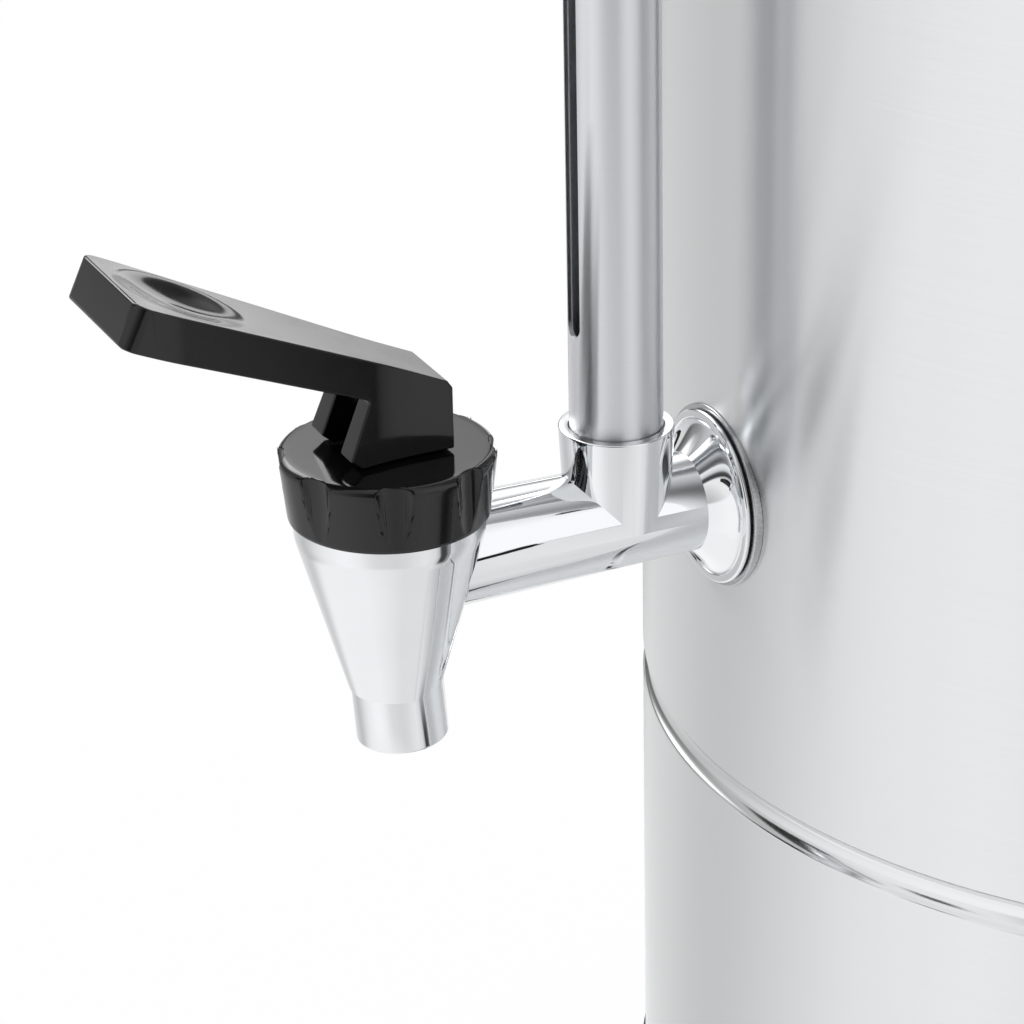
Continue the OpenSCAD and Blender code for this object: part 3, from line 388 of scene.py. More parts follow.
# The floor and the inner lid parts: 2B mill finish, duller and with no grain
mill_steel = surface("Stainless 304, mill finish", "#cfcfcd", "#d8d8d6", 3.33, (0.30, 0.38),
                     bump=(0.05, 0.02), metal=1.0)
# 304 stainless tube, brushed round its axis by a belt; dull grey inside, as it was drawn
tube_steel = surface("Stainless 304 tube, brushed", "#e2e3e6", "#e4e5e8", (71.4, 71.4, 0.385),
                     (0.315, 0.325), metal=1.0, detail=2.0, round_z=True)
dull_bore(tube_steel, OUT_GAUGE, 8.2, 0.8)
# Zinc die casting, polished and chrome plated: a clean mirror with very faint polishing haze
chrome = surface("Zinc casting, chrome plated", "#e8eaec", "#eaecee", 11.1, (0.03, 0.045),
                 metal=1.0, detail=1.0)
# Phenolic resin from a polished mould: deep gloss over black, with slight flow waves
gloss_black = surface("Phenolic, polished mould", "#0e0e0f", "#121213", 6.25, (0.08, 0.12),
                      bump=(0.02, 0.02), detail=2.0, **{"Specular IOR Level": 0.45})
# Painted reflection: seen in metal from further off than 54 mm the phenolic glows pale, standing
# in for satin sheet that scatters so small a dark shape away, so that only near metal mirrors it
painted_pale_glow_far_off(gloss_black, 54)
# Phenolic resin from a satin mould: an even low sheen
satin_black = surface("Phenolic, satin mould", "#101011", "#141415", 1.11, (0.30, 0.38),
                      bump=(0.08, 0.03), **{"Specular IOR Level": 0.35})
# Polypropylene from a spark-eroded mould: fine 0.3 mm leathery texture
base_black = surface("Polypropylene, spark-eroded", "#151517", "#1b1b1d", 0.3125, (0.44, 0.54),
                     bump=(0.22, 0.06), **{"Specular IOR Level": 0.4})
# ABS from a lightly textured mould, for the switch, lamp holder and inlet
control_black = surface("ABS, light texture", "#0f0f10", "#141415", 0.455, (0.36, 0.44),
                        bump=(0.12, 0.03), **{"Specular IOR Level": 0.4})
# ABS from a polished mould, for the rocker: slight waves about 5 mm long
rocker_black = surface("ABS, polished mould", "#0a0a0b", "#0d0d0e", 5, (0.12, 0.18),
                       bump=(0.03, 0.02), **{"Specular IOR Level": 0.35})
# EPDM rubber, moulded: matt with a dusty bloom
rubber = surface("EPDM rubber, moulded", "#161616", "#1f1f1f", 1.43, (0.62, 0.74),
                 bump=(0.15, 0.05), IOR=1.5)
# Silicone rubber, moulded: translucent white, here a waxy off-white
silicone = surface("Silicone rubber, moulded", "#d2cec5", "#dcd9d1", 2, (0.38, 0.48),
                   bump=(0.06, 0.03), IOR=1.41)
# Brass, machined: warm yellow with faint tool marks
brass = surface("Brass, machined", "#c39a55", "#d0aa66", (0.667, 0.667, 5), (0.22, 0.32),
                bump=(0.08, 0.02), metal=1.0)
# Mild steel sheet, zinc plated: cool grey spangle about 3 mm across
zinc = surface("Steel sheet, zinc plated", "#9fa3a7", "#b4b8bb", 3.03, (0.34, 0.46),
               bump=(0.05, 0.02), metal=1.0, detail=1.0)
# Turned stainless, for screws, the stem, the pin and the saddle washer: tool marks drawn
# about 0.5 mm apart, coarser than the real ones, so that they show
turned_steel = surface("Stainless 304, turned", "#b9babb", "#c4c5c6", 0.556, (0.20, 0.28),
                       bump=(0.05, 0.01), metal=1.0)
# Spring steel, drawn to wire: dull grey with fine die lines
wire_steel = surface("Spring steel, drawn wire", "#a9a9a8", "#b9b9b8", 0.833, (0.24, 0.32),
                     metal=1.0)
# Aluminium, pressed: pale and slightly mottled
aluminium = surface("Aluminium, pressed", "#c2c3c5", "#cfd0d2", 3.85, (0.34, 0.44),
                    bump=(0.06, 0.03), metal=1.0)
# Element sheath: annealed alloy with a brown heat bloom
element_alloy = surface("Heating alloy, annealed", "#55504b", "#6c655f", 4.17, (0.40, 0.55),
                        bump=(0.06, 0.02), metal=1.0)
# Steatite body of the cut-out: unglazed and slightly grainy
steatite = surface("Steatite, unglazed", "#b5a583", "#c4b594", 0.625, (0.62, 0.74),
                   bump=(0.15, 0.03), IOR=1.55)
# Polycarbonate lens: amber tint, moulded smooth
amber = surface("Polycarbonate, amber", "#c4620c", "#d67517", 3.33, (0.10, 0.16),
                bump=(0.02, 0.02), IOR=1.58, **{"Transmission Weight": 0.35})
# Borosilicate tube, drawn: clear under a grey film of scale from the hot water
glass = surface("Borosilicate glass, drawn tube", "#d3d6d8", "#dde0e2", (16.7, 16.7, 125),
                (0.02, 0.05), bump=(0.05, 0.05), detail=1.0, IOR=1.47,
                **{"Transmission Weight": 0.3})

# ------------------------------------------------------------------ tank


def groove_line(offset, low_lip, high_lip):
    """Side view of the rolled groove from its lower edge up, at a wall radius less offset."""
    wall = WALL_R - offset
    r = (GROOVE_HALF ** 2 + GROOVE_DEPTH ** 2) / (2 * GROOVE_DEPTH)
    centre = WALL_R + r - GROOVE_DEPTH
    r += offset
    sides = []
    for lip in (low_lip, high_lip):
        reach = math.sqrt((r + lip) ** 2 - (centre - wall + lip) ** 2)
        sides.append((lip, reach, math.degrees(math.atan2(reach, centre - wall + lip))))
    (lip, reach, swing), (lip_b, reach_b, swing_b) = sides
    low = arc(wall - lip, GROOVE_Z - reach, lip, 0, swing, 8)
    middle = arc(centre, GROOVE_Z, r, 180 + swing, 180 - swing_b, 32)
    high = arc(wall - lip_b, GROOVE_Z + reach_b, lip_b, -swing_b, 0, 6)
    return low + middle[1:-1] + high


def tank_wall():
    """Rolled sheet with one groove, its top edge curled outward over a wire."""
    bead_r, bead_x, foot = 2.2, 127.35, 28
    soft_lip, sharp_lip = 1.0, 0.3
    meet = math.degrees(math.acos((bead_x - WALL_R) / bead_r))
    outside = [(WALL_R, foot)] + groove_line(0, soft_lip, sharp_lip)
    curl = arc(bead_x, RIM_Z - bead_r, bead_r, 180 + meet, 540, 30)
    curl = [(x, z) for x, z in curl if x > WALL_IN_R]
    groove = groove_line(WALL_R - WALL_IN_R, sharp_lip, sharp_lip)
    inside = [(WALL_IN_R, RIM_Z - bead_r)] + groove[::-1] + [(WALL_IN_R, foot)]
    wall = ring("tank_wall", outside + curl + inside, 256)
    return finished(wall, tank_steel, "urn", "tank_steel", "body_shell")


def tank_floor():
    """Pressed floor with a skirt that stands on the groove's inside."""
    top, skirt, r, t, corner = 162.5, 137.2, 124.95, 1.0, 5.0
    outline = [(0, top - t)] + arc(r - corner, top - corner, corner - t, 90, 0, 8)
    outline += [(r - t, skirt), (r, skirt)]
    outline += arc(r - corner, top - corner, corner, 0, 90, 8) + [(0, top)]
    return finished(turned("tank_floor", outline), mill_steel, "urn", "tank_steel", "tank_bottom")


tank_wall()
tank_floor()

# ------------------------------------------------------------------ base

BASE_R = 126.7
BASE_LOW = 1.5
BASE_TOP = 34.0
CONTROL_Z = 17.75
PAD_FACE = 127.9
LAMP_TURN = 13.0
# The plate's seat, and the groove of the rubber foot
PLATE_R, PLATE_TOP = 110.8, 3.3
FOOT_IN_R, FOOT_OUT_R, FOOT_TOP = 116.8, 124.8, 4.0


def base():
    """Moulded base ring with its inlet pad and the openings for the controls."""
    inner_r, liner_r, sheet_r, lip_r = 103.8, 122.7, 124.95, 125.85
    tank_foot, liner_top, web_top, play = 28, 33, 6.5, 0.05
    plate_r, foot_in, foot_out = PLATE_R + play, FOOT_IN_R - play, FOOT_OUT_R + play
    outline = [(inner_r, PLATE_TOP), (plate_r, PLATE_TOP), (plate_r, BASE_LOW),
               (foot_in, BASE_LOW), (foot_in, FOOT_TOP), (foot_out, FOOT_TOP),
               (foot_out, BASE_LOW), (BASE_R, BASE_LOW), (BASE_R, BASE_TOP), (lip_r, BASE_TOP),
               (lip_r, tank_foot), (sheet_r, tank_foot), (sheet_r, liner_top),
               (liner_r, liner_top), (liner_r, web_top), (inner_r, web_top)]
    radii = [0.3, 0, 0, 0, 0, 0, 0, 0.7, 0.5, 0, 0, 0, 0.3, 0.3, 0.6, 0.3]
    body = ring("base_moulding", softened(outline, radii), 256)
    pad = softened([(-26.5, 5.5), (26.5, 5.5), (26.5, 27.9), (-26.5, 27.9)], 2.0)
    plinth = placed(drawn("pad", pad, -PAD_FACE, -121.5), about("X", 90))
    w, h, c = 14.1, 10.1, 5.0
    socket = [(-w, -h), (w, -h), (w, h - c), (w - c, h), (-w + c, h), (-w, h - c)]
    opening = placed(drawn("opening", socket, -135, -110), about("X", 90), (0, 0, CONTROL_Z))
    switch = softened([(-9.6, -6.6), (9.6, -6.6), (9.6, 6.6), (-9.6, 6.6)], 0.4)
    switch_hole = outward(drawn("switch_hole", switch, 110, 135), 0, CONTROL_Z)
    lamp_hole = outward(rod("lamp_hole", 5.05, 110, 135), LAMP_TURN, CONTROL_Z)
    joined(body, bevelled(plinth, 0.5, 2, 60))
    boss_out, boss_r = 107.3, 4.0
    for quarter in range(4):
        a = math.radians(45 + 90 * quarter)
        at = (boss_out * math.cos(a), boss_out * math.sin(a), 0)
        joined(body, placed(rod("boss", boss_r, 6, 14.5, 48), None, at))
    cut(body, opening, switch_hole, lamp_hole)
    return finished(body, base_black, "urn", "base_plastic", "base_ring")


def bottom_plate():
    """Vented steel plate that closes the base."""
    low, edge, vents, pitch = 2.5, 0.4, 5, 12
    plate = turned("vent_plate", [(0, low), (PLATE_R - edge, low), (PLATE_R, low + 0.3),
                                  (PLATE_R, PLATE_TOP), (0, PLATE_TOP)])
    slot = softened([(-30, -2), (30, -2), (30, 2), (-30, 2)], 1.9, 6)
    for i in range(vents):
        hole = drawn("vent", slot, 0, 6)
        cut(plate, placed(hole, None, (0, (i - (vents - 1) / 2) * pitch, 0)))
    return finished(plate, zinc, "urn", "zinc_steel", "base_plate")


def foot():
    """Rubber ring that the urn stands on."""
    outline = [(FOOT_IN_R, 0), (FOOT_OUT_R, 0), (FOOT_OUT_R, FOOT_TOP), (FOOT_IN_R, FOOT_TOP)]
    obj = ring("foot_rubber_ring", softened(outline, [0.8, 0.8, 0.2, 0.2], 5), 256)
    return finished(obj, rubber, "urn", "foot_rubber", "foot_ring")


def lamp():
    """Domed amber lens in a plain round holder."""
    stem_r, lens_r, rise, seat, rim = 3.45, 4.0, 1.6, BASE_R - 0.6, BASE_R + 1.4
    lens = [(0, BASE_R - 12), (stem_r, BASE_R - 12), (stem_r, seat), (lens_r, seat)]
    lens += swelling(lens_r, rim, rise, range(0, 91, 9))
    piece = outward(turned("lamp_dome", lens, 64), LAMP_TURN, CONTROL_Z)
    finished(piece, amber, "urn", "lens_plastic", "lamp_lens")
    bore, back_bore, tube_r, collar_r, back = 3.5, 2.5, 5.0, 6.0, BASE_R - 14
    holder = [(bore, back), (bore, seat), (lens_r + 0.05, seat), (lens_r + 0.05, rim),
              (collar_r, rim), (collar_r, BASE_R + 0.4), (tube_r, BASE_R + 0.4),
              (tube_r, back - 2), (back_bore, back - 2), (back_bore, back)]
    radii = [0, 0, 0, 0.2, 0.5, 0.1, 0, 0.3, 0, 0]
    tube = outward(ring("lamp_tube", softened(holder, radii), 64), LAMP_TURN, CONTROL_Z)
    finished(tube, control_black, "urn", "control_plastic", "lamp_holder")


base()
bottom_plate()
foot()
lamp()

# ------------------------------------------------------------------ handles

HANDLE_Z = 416.0


def side_handle(name, node, turn):
    """Bent bar handle: two legs with round pads, trimmed to the wall's curve."""
    r, bend, span, reach, inside = 8.0, 15.0, 38.0, 158.8, 112.0
    pad_r, pad_in, pad_out, pad_lean = 13.0, 120, 130.8, 17.58
    start()
    bpy.ops.mesh.primitive_circle_add(vertices=64, radius=r * MM, location=(0, 0, 0))
    bar = bpy.context.object
    bar.name = name
    bpy.ops.object.mode_set(mode="EDIT")
    bpy.ops.mesh.select_all(action="SELECT")
    bpy.ops.transform.rotate(value=math.radians(90), orient_axis="Y", center_override=(0, 0, 0))
    bpy.ops.transform.translate(value=(inside * MM, -span * MM, 0))
    bpy.ops.mesh.edge_face_add()
    run = (reach - bend - inside) * MM
    grip = 2 * (span - bend) * MM
    bpy.ops.mesh.extrude_region_move(TRANSFORM_OT_translate={"value": (run, 0, 0)})
    bpy.ops.mesh.spin(steps=14, angle=math.radians(-90), axis=(0, 0, 1),
                      center=((reach - bend) * MM, (bend - span) * MM, 0))
    bpy.ops.mesh.extrude_region_move(TRANSFORM_OT_translate={"value": (0, grip, 0)})
    bpy.ops.mesh.spin(steps=14, angle=math.radians(-90), axis=(0, 0, 1),
                      center=((reach - bend) * MM, (span - bend) * MM, 0))
    bpy.ops.mesh.extrude_region_move(TRANSFORM_OT_translate={"value": (-run, 0, 0)})
    bpy.ops.mesh.select_all(action="SELECT")
    bpy.ops.mesh.remove_doubles(threshold=TINY * MM)
    bpy.ops.mesh.normals_make_consistent(inside=False)
    start()
    for lean in (-pad_lean, pad_lean):
        line = [(0, pad_in), (pad_r, pad_in), (pad_r, pad_out), (0, pad_out)]
        pad = turned("pad", softened(line, [0, 0, 1.2, 0], 5, closed=False), 96)
        joined(bar, placed(pad, about("Z", lean) @ about("Y", 90)))
    cut(bar, rod("wall", WALL_R + WALL_PLAY, -40, 40, 512))
    placed(bar, about("Z", turn), (0, 0, HANDLE_Z))
    return finished(bar, satin_black, "urn", "handle_plastic", node)


side_handle("carry_handle_right", "handle_right", 0)
side_handle("carry_handle_left", "handle_left", 180)

# ------------------------------------------------------------------ lid

SHEET = 0.8
SEAT_Z = 476.3
DOME_Z = SEAT_Z + SHEET
DOME_R = 116.8
DOME_RISE = 18.0


def dome(r, drop=0.0):
    """Height of the lid's dome at a radius."""
    sphere = (DOME_R * DOME_R + DOME_RISE * DOME_RISE) / (2 * DOME_RISE)
    return DOME_Z + DOME_RISE - drop - sphere + math.sqrt(sphere * sphere - r * r)


def lid():
    """Pressed lid: a shallow dome and a flat rim with a turned-down lip."""
    hole, steps, bend_in, lip_r, lip_foot = 1.85, 28, 112, 131.15, 473
    rings = [DOME_R * i / steps for i in range(1, steps)]
    rim = softened([(bend_in, dome(bend_in)), (DOME_R, DOME_Z), (lip_r, DOME_Z),
                    (lip_r, lip_foot), (lip_r - SHEET, lip_foot), (lip_r - SHEET, SEAT_Z),
                    (DOME_R, SEAT_Z)],
                   [0, 3, 1.2, 0.2, 0.2, 0.4, 0], 5, closed=False)
    top = [(hole, dome(hole))] + [(r, dome(r)) for r in rings]
    under = [(r, dome(r, SHEET)) for r in rings[::-1]] + [(hole, dome(hole, SHEET))]
    obj = ring("lid_pressing", top + rim[1:] + under, 256)
    return finished(obj, tank_steel, "lid_assembly", "tank_steel", "lid")


def band():
    """Angle ring that centres the lid in the tank's mouth."""
    flange_r, band_r, foot = 119.3, 123.8, 467
    outline = [(flange_r, SEAT_Z), (flange_r, SEAT_Z - SHEET), (band_r - SHEET, SEAT_Z - SHEET),
               (band_r - SHEET, foot), (band_r, foot), (band_r, SEAT_Z)]
    obj = ring("lid_band", softened(outline, [0, 0.2, 0.8, 0.2, 0.2, 0.8]), 256)
    return finished(obj, mill_steel, "lid_assembly", "tank_steel", "locating_band")


def knob():
    """Moulded knob with a waist and a rounded head."""
    z = DOME_Z + DOME_RISE
    foot_r, waist_r, head_r, head_z, head_rise = 13, 9, 19, z + 22.8, 7.2
    line = [(0, z), (foot_r, z), (foot_r, z + 2), (waist_r + 1, z + 5), (waist_r, z + 9),
            (waist_r + 1, z + 13.5), (12.2, z + 17.3)]
    line = softened(line, [0, 0.4, 1.2, 3, 6, 3, 0], 5, closed=False)
    head = swelling(head_r, head_z, head_rise, range(-48, 91, 6))
    obj = turned("knob", line[:-1] + head, 128)
    return finished(obj, satin_black, "lid_assembly", "handle_plastic", "lid_knob")


lid()
band()
knob()

# ------------------------------------------------------------------ tap arm and flange

# Distances out from the tank's axis, and the height at which the gauge's tube stands
OUT_WASHER = 126.2
OUT_FLANGE = 126.6
OUT_FACE = 127.5
FLANGE_R = 17.0
GAUGE_FOOT = TAP_HEIGHT + 8.0


def flange_line():
    """The flange from its back edge, over the rim's bead, up the bell to the arm."""
    bell_r, neck_r, rise, hollow, steps = 15.0, 9.6, 4.2, 1.35, 20
    rim = softened([(FLANGE_R - 0.8, OUT_FLANGE), (FLANGE_R, OUT_FLANGE), (FLANGE_R, OUT_FACE),
                    (FLANGE_R - 1.5, OUT_FACE + 0.1), (bell_r + 0.2, OUT_FACE - 0.25)],
                   [0, 0.35, 0.45, 0.35, 0], 5, closed=False)
    shares = [i / steps for i in range(steps + 1)]
    bell = [(bell_r - (bell_r - neck_r) * t, OUT_FACE + rise * t ** hollow) for t in shares]
    return rim + bell


def arm():
    """Cast arm: shank, wall flange, tapered tube and the gauge's socket in one piece."""
    shank_r, shank_end, end_r, arm_end, way_r = 8.0, 111.8, 10.3, 181.6, 5.2
    line = [(0, shank_end), (shank_r, shank_end), (shank_r, OUT_FLANGE)] + flange_line()
    line += [(end_r, arm_end), (0, arm_end)]
    body = outward(turned("arm_casting", line, 256))
    z, rim, seat, clear = TAP_HEIGHT, TAP_HEIGHT + 19.1, TAP_HEIGHT + 3, TAP_HEIGHT + 30
    foot_r, rim_r, well_r, seat_r, feed_r = 9.99, 10.95, 9.0, 7.2, 3.8
    at = (0, -OUT_GAUGE, 0)
    cup = [(0, z), (foot_r, z), (rim_r, rim), (well_r, rim), (well_r, GAUGE_FOOT),
           (seat_r, GAUGE_FOOT), (seat_r, seat), (0, seat)]
    cup = softened(cup, [0, 0, 0.3, 0.25, 0, 0, 0, 0], 4, closed=False)
    joined(body, placed(turned("socket", cup, 256), None, at))
    cut(body, placed(rod("well", well_r, GAUGE_FOOT, clear, 256), None, at),
        placed(rod("seat", seat_r, seat, clear, 256), None, at),
        placed(rod("feed", feed_r, z, clear), None, at),
        outward(rod("water_way", way_r, 100, 190)))
    return finished(body, chrome, "urn", "tap_chrome", "tap_arm", angle=28)


def wall_washer():
    """Saddle washer with a flat face, and the thin seal between it and the flange."""
    bore_r, washer_r, seal_bore, seal_r = 8.3, 17.9, 8.05, 16.5
    outline = softened([(bore_r, 118), (washer_r, 118), (washer_r, OUT_WASHER),
                        (bore_r, OUT_WASHER)], [0, 0, 0.25, 0])
    saddle = outward(ring("saddle_washer", outline, 256))
    cut(saddle, rod("wall", WALL_R + WALL_PLAY, 130, 260, 1024))
    finished(saddle, turned_steel, "urn", "washer_steel", "flange_washer")
    outline = [(seal_bore, OUT_WASHER), (seal_r, OUT_WASHER), (seal_r, OUT_FLANGE),
               (seal_bore, OUT_FLANGE)]
    seal = outward(ring("flange_seal", softened(outline, [0, 0.1, 0.1, 0]), 192))
    finished(seal, rubber, "urn", "seal_rubber", "flange_gasket")


arm()
wall_washer()

# ------------------------------------------------------------------ tap

# Heights are from the arm's axis
CONE_SLOPE = 0.28621
CONE_FOOT = -24.5
SPOUT_R = 8.7
CAP_FOOT = 10.7


def tap():
    """Cast tap body: a shoulder that runs into a cone, and a spout that leans to the tank."""
    shoulder_r, rounding, thread_r, thread_top = 17.8, 10.0, 15.8, 18.7
    slope = math.atan(CONE_SLOPE)
    r_tan = shoulder_r - rounding * (1 - math.cos(slope))
    z_tan = (r_tan - SPOUT_R) / CONE_SLOPE + CONE_FOOT
    shoulder = arc(shoulder_r - rounding, z_tan + rounding * math.sin(slope), rounding,
                   -math.degrees(slope), 0, 12)
    line = [(0, CONE_FOOT), (SPOUT_R, CONE_FOOT)] + shoulder
    line += [(shoulder_r, CAP_FOOT), (thread_r, CAP_FOOT), (thread_r, thread_top),
             (0, thread_top)]
    body = placed(turned("tap_casting", line, 256), None, (0, -OUT_TAP, TAP_HEIGHT))
    lip, root, bore_r = -10.726, 3, 7.0
    lean = about("X", 4)
    foot_at = (0, -OUT_TAP + 0.45, TAP_HEIGHT + CONE_FOOT)
    spout = softened([(0, lip), (SPOUT_R, lip), (SPOUT_R, root), (0, root)], [0, 0.5, 0, 0], 4,
                     closed=False)
    joined(body, placed(turned("spout", spout, 192), lean, foot_at))
    seat_r, seat, chamber_r = 5.8, -9, 9.5
    chamber = [(0, -17), (seat_r, -17), (seat_r, seat), (chamber_r, seat), (chamber_r, 19.5),
               (0, 19.5)]
    cut(body, placed(rod("bore", bore_r, lip - 2, 10.4, 128), lean, foot_at),
        placed(turned("chamber", chamber, 128), None, (0, -OUT_TAP, TAP_HEIGHT)))
    return finished(body, chrome, "urn", "tap_chrome", "tap_body", angle=28)


def cap():
    """Screwed cap of the tap, with a flat polished top and eight upright flutes."""
    top, edge, low_r, high_r, tall, steps = 24.0, 1.6, 18.7, 20.2, 11.6, 14
    bore_r, guide_r, guide_foot, thread_r, ceiling = 2.6, 4.4, 15.7, 15.85, 19
    side = arc(high_r - edge, top - edge, edge, 84, 0, 8)
    side += [(low_r + (high_r - low_r) * i / steps, CAP_FOOT + tall * i / steps)
             for i in range(steps - 1, 0, -1)]
    line = [(bore_r, top), (8, top), (14, top), (high_r - edge - 1, top)] + side
    line += [(low_r + 0.05, CAP_FOOT + 0.4), (low_r - 0.2, CAP_FOOT + 0.05),
             (low_r - 0.5, CAP_FOOT), (thread_r, CAP_FOOT), (thread_r, ceiling),
             (guide_r, ceiling), (guide_r, guide_foot), (bore_r, guide_foot)]
    obj = ring("fluted_cap", line, 192)
    flutes, flute_r, flute_out, first = 8, 6.0, 24.8, 25.5
    for i in range(flutes):
        a = math.radians(first + 360 / flutes * i)
        at = (flute_out * math.cos(a), flute_out * math.sin(a), 0)
        cut(obj, placed(rod("flute", flute_r, 5, 30, 96), None, at))
    bevelled(obj, 0.3, 3, 22)
    placed(obj, None, (0, -OUT_TAP, TAP_HEIGHT))
    return finished(obj, gloss_black, "urn", "tap_plastic", "tap_cap", angle=40, flat=True)


tap()
cap()

# ------------------------------------------------------------------ lever

# The lever is drawn with u out from the tap's axis and v up from the arm's. These are its top
# face's rise, its reach, its thickness at the tip, half its width at the paddle and at the
# foot, and the length over which it widens
TOP_ANGLE = 25.1
TIP_OUT = 54.6
TIP_T = 8.3
PADDLE_W = 14.9
FOOT_W = 8.0
TAPER = 45.0


def thumb_scoop(tip_u, tip_v):
    """Part of a large ball pressed into the top face behind its tip, its rim blended in."""
    ball, deep, back, inner, outer, lift = 34.0, 1.7, 14.0, 8.5, 13.3, 0.01
    radii = [inner * i / 16 for i in range(17)]
    bowl = [(r, ball - deep - math.sqrt(ball * ball - r * r)) for r in radii]
    edge = bowl[-1][1]
    shares = [i / 12 for i in range(1, 13)]
    bowl += [(inner + (outer - inner) * t, edge * (1 - t) ** 2 + lift * t) for t in shares]
    scoop = turned("scoop", bowl + [(outer, 5), (0, 5)], 256)
    slope = math.radians(TOP_ANGLE)
    at = (0, -tip_u + back * math.cos(slope), tip_v - back * math.sin(slope))
    return placed(scoop, about("Z", -90) @ about("Y", -TOP_ANGLE), at)


def lever():
    """Moulded lever: a paddle with a thumb scoop on a forked foot with a chamfered toe."""
    slope = math.radians(TOP_ANGLE)
    tan_top, tan_under, tan_front = (math.tan(math.radians(TOP_ANGLE - a)) for a in (0, 1.3, 3.1))
    foot_v, toe_v, heel_v, back_u, neck_u, chamfer = 24.6, 26.6, 37.5, -10.0, 6.6, 2.4
    tip_u = TIP_OUT - TIP_T * math.sin(slope)
    tip_v = heel_v + (tip_u - back_u) * tan_top
    low_v = tip_v - TIP_T * math.cos(slope)
    neck = (neck_u, low_v - (TIP_OUT - neck_u) * tan_under)
    toe = (neck_u + (neck[1] - toe_v) * tan_front, toe_v)
    outline = [(back_u, foot_v), (toe[0] - chamfer, foot_v), toe, neck, (TIP_OUT, low_v),
               (tip_u, tip_v), (back_u + 1, heel_v + tan_top), (back_u, heel_v - 1)]
    side = softened(outline, [0.4, 0.8, 0, 0.8, 0.8, 0.5, 0.6, 0.6], 8)
    # the outline's x runs out from the tap's axis, its y runs up
    stand = about("Z", -90) @ about("X", 90)
    body = placed(drawn("thumb_lever", side, -20, 20), stand)
    plan = softened([(-12, FOOT_W), (1, FOOT_W), (1 + TAPER, PADDLE_W), (TIP_OUT, PADDLE_W)],
                    [0, 60, 40, 0], 12, closed=False)
    plan += [(TIP_OUT + 3, PADDLE_W)]
    plan += [(x, -y) for x, y in reversed(plan)]
    combined(body, placed(drawn("plan", plan, 0, 90), about("Z", -90)), "INTERSECT")
    # the tip's two corners are rounded square to the top face
    reach = tip_u * math.cos(slope) + tip_v * math.sin(slope) + 0.01
    wide, tip_round = PADDLE_W + 0.01, 3.2
    corners = softened([(-20, -wide), (reach, -wide), (reach, wide), (-20, wide)],
                       [0, tip_round, tip_round, 0], 12)
    combined(body, placed(drawn("corners", corners, -10, 60),
                          about("Z", -90) @ about("Y", -TOP_ANGLE)), "INTERSECT")
    fork_out, fork_in, fork_half = 16.4, -5.2, 4.3
    roof = [(u, low_v - (TIP_OUT - u) * tan_under) for u in (fork_out, fork_in)]
    gap = [(fork_in, 20), (fork_out, 20)] + roof
    cut(body, placed(drawn("fork", gap, -fork_half, fork_half), stand))
    cut(body, thumb_scoop(tip_u, tip_v))
    bevelled(body, 0.35, 3, 35)
    placed(body, None, (0, -OUT_TAP, TAP_HEIGHT))
    return finished(body, gloss_black, "lever", "tap_plastic", "tap_lever", angle=35, flat=True)


lever()

# ------------------------------------------------------------------ sight gauge

GAUGE_TOP = 442.0
SHEATH_R = 8.85
# What is pushed over the sheath
OVER_R = SHEATH_R + 0.05


def sheath():
    """Brushed tube with a long round-ended slot in front of the glass."""
    bore_r, low, high, slot_r = 7.95, 234.45, 410.0, 2.45
    outline = softened([(bore_r, GAUGE_FOOT), (SHEATH_R, GAUGE_FOOT), (SHEATH_R, GAUGE_TOP),
                        (bore_r, GAUGE_TOP)], 0.15, 2)
    tube = ring("slotted_sheath", outline, 256)
    slot = arc(0, low, slot_r, 180, 360, 24) + arc(0, high, slot_r, 0, 180, 24)
    cut(tube, placed(drawn("slot", slot, 1, 12), about("X", 90)))
    placed(tube, None, (0, -OUT_GAUGE, 0))
    return finished(tube, tube_steel, "urn", "sheath_steel", "gauge_sheath", angle=35)


def sheath_cap():
    """Moulded cap with a flattened dome, pushed over the sheath's top."""
    r, foot_z, shoulder, rise = 10.4, GAUGE_TOP - 6, GAUGE_TOP + 1, 3
    line = [(OVER_R, foot_z), (r, foot_z), (r, shoulder)]
    line += swelling(r, shoulder, rise, range(10, 84, 9))
    line += [(1, shoulder + rise), (1, GAUGE_TOP), (OVER_R, GAUGE_TOP)]
    top = placed(ring("sheath_cap", line, 128), None, (0, -OUT_GAUGE, 0))
    return finished(top, satin_black, "urn", "handle_plastic", "gauge_cap")


def bracket():
    """Hoop round the sheath on a short strut with a foot on the wall."""
    foot_z, tall, hoop_r, strut_r, pad_r = GAUGE_TOP - 22, 8, 10.9, 3.4, 7.0
    hoop = softened([(OVER_R, foot_z), (hoop_r, foot_z), (hoop_r, foot_z + tall),
                     (OVER_R, foot_z + tall)], [0.3, 0.6, 0.6, 0.3])
    holder = placed(ring("sheath_bracket", hoop, 192), None, (0, -OUT_GAUGE, 0))
    strut = turned("strut", [(0, 123), (pad_r, 123), (pad_r, 126.9), (pad_r - 0.4, 127.3),
                             (strut_r, 127.3), (strut_r, 136.6), (0, 136.6)], 96)
    joined(holder, outward(strut, 0, foot_z + tall / 2))
    cut(holder, rod("wall", WALL_R + WALL_PLAY, foot_z - 20, foot_z + 30, 512))
    return finished(holder, chrome, "urn", "tap_chrome", "gauge_bracket", angle=30)


sheath()
sheath_cap()
bracket()

# ------------------------------------------------------------------ nodes that keep their shape

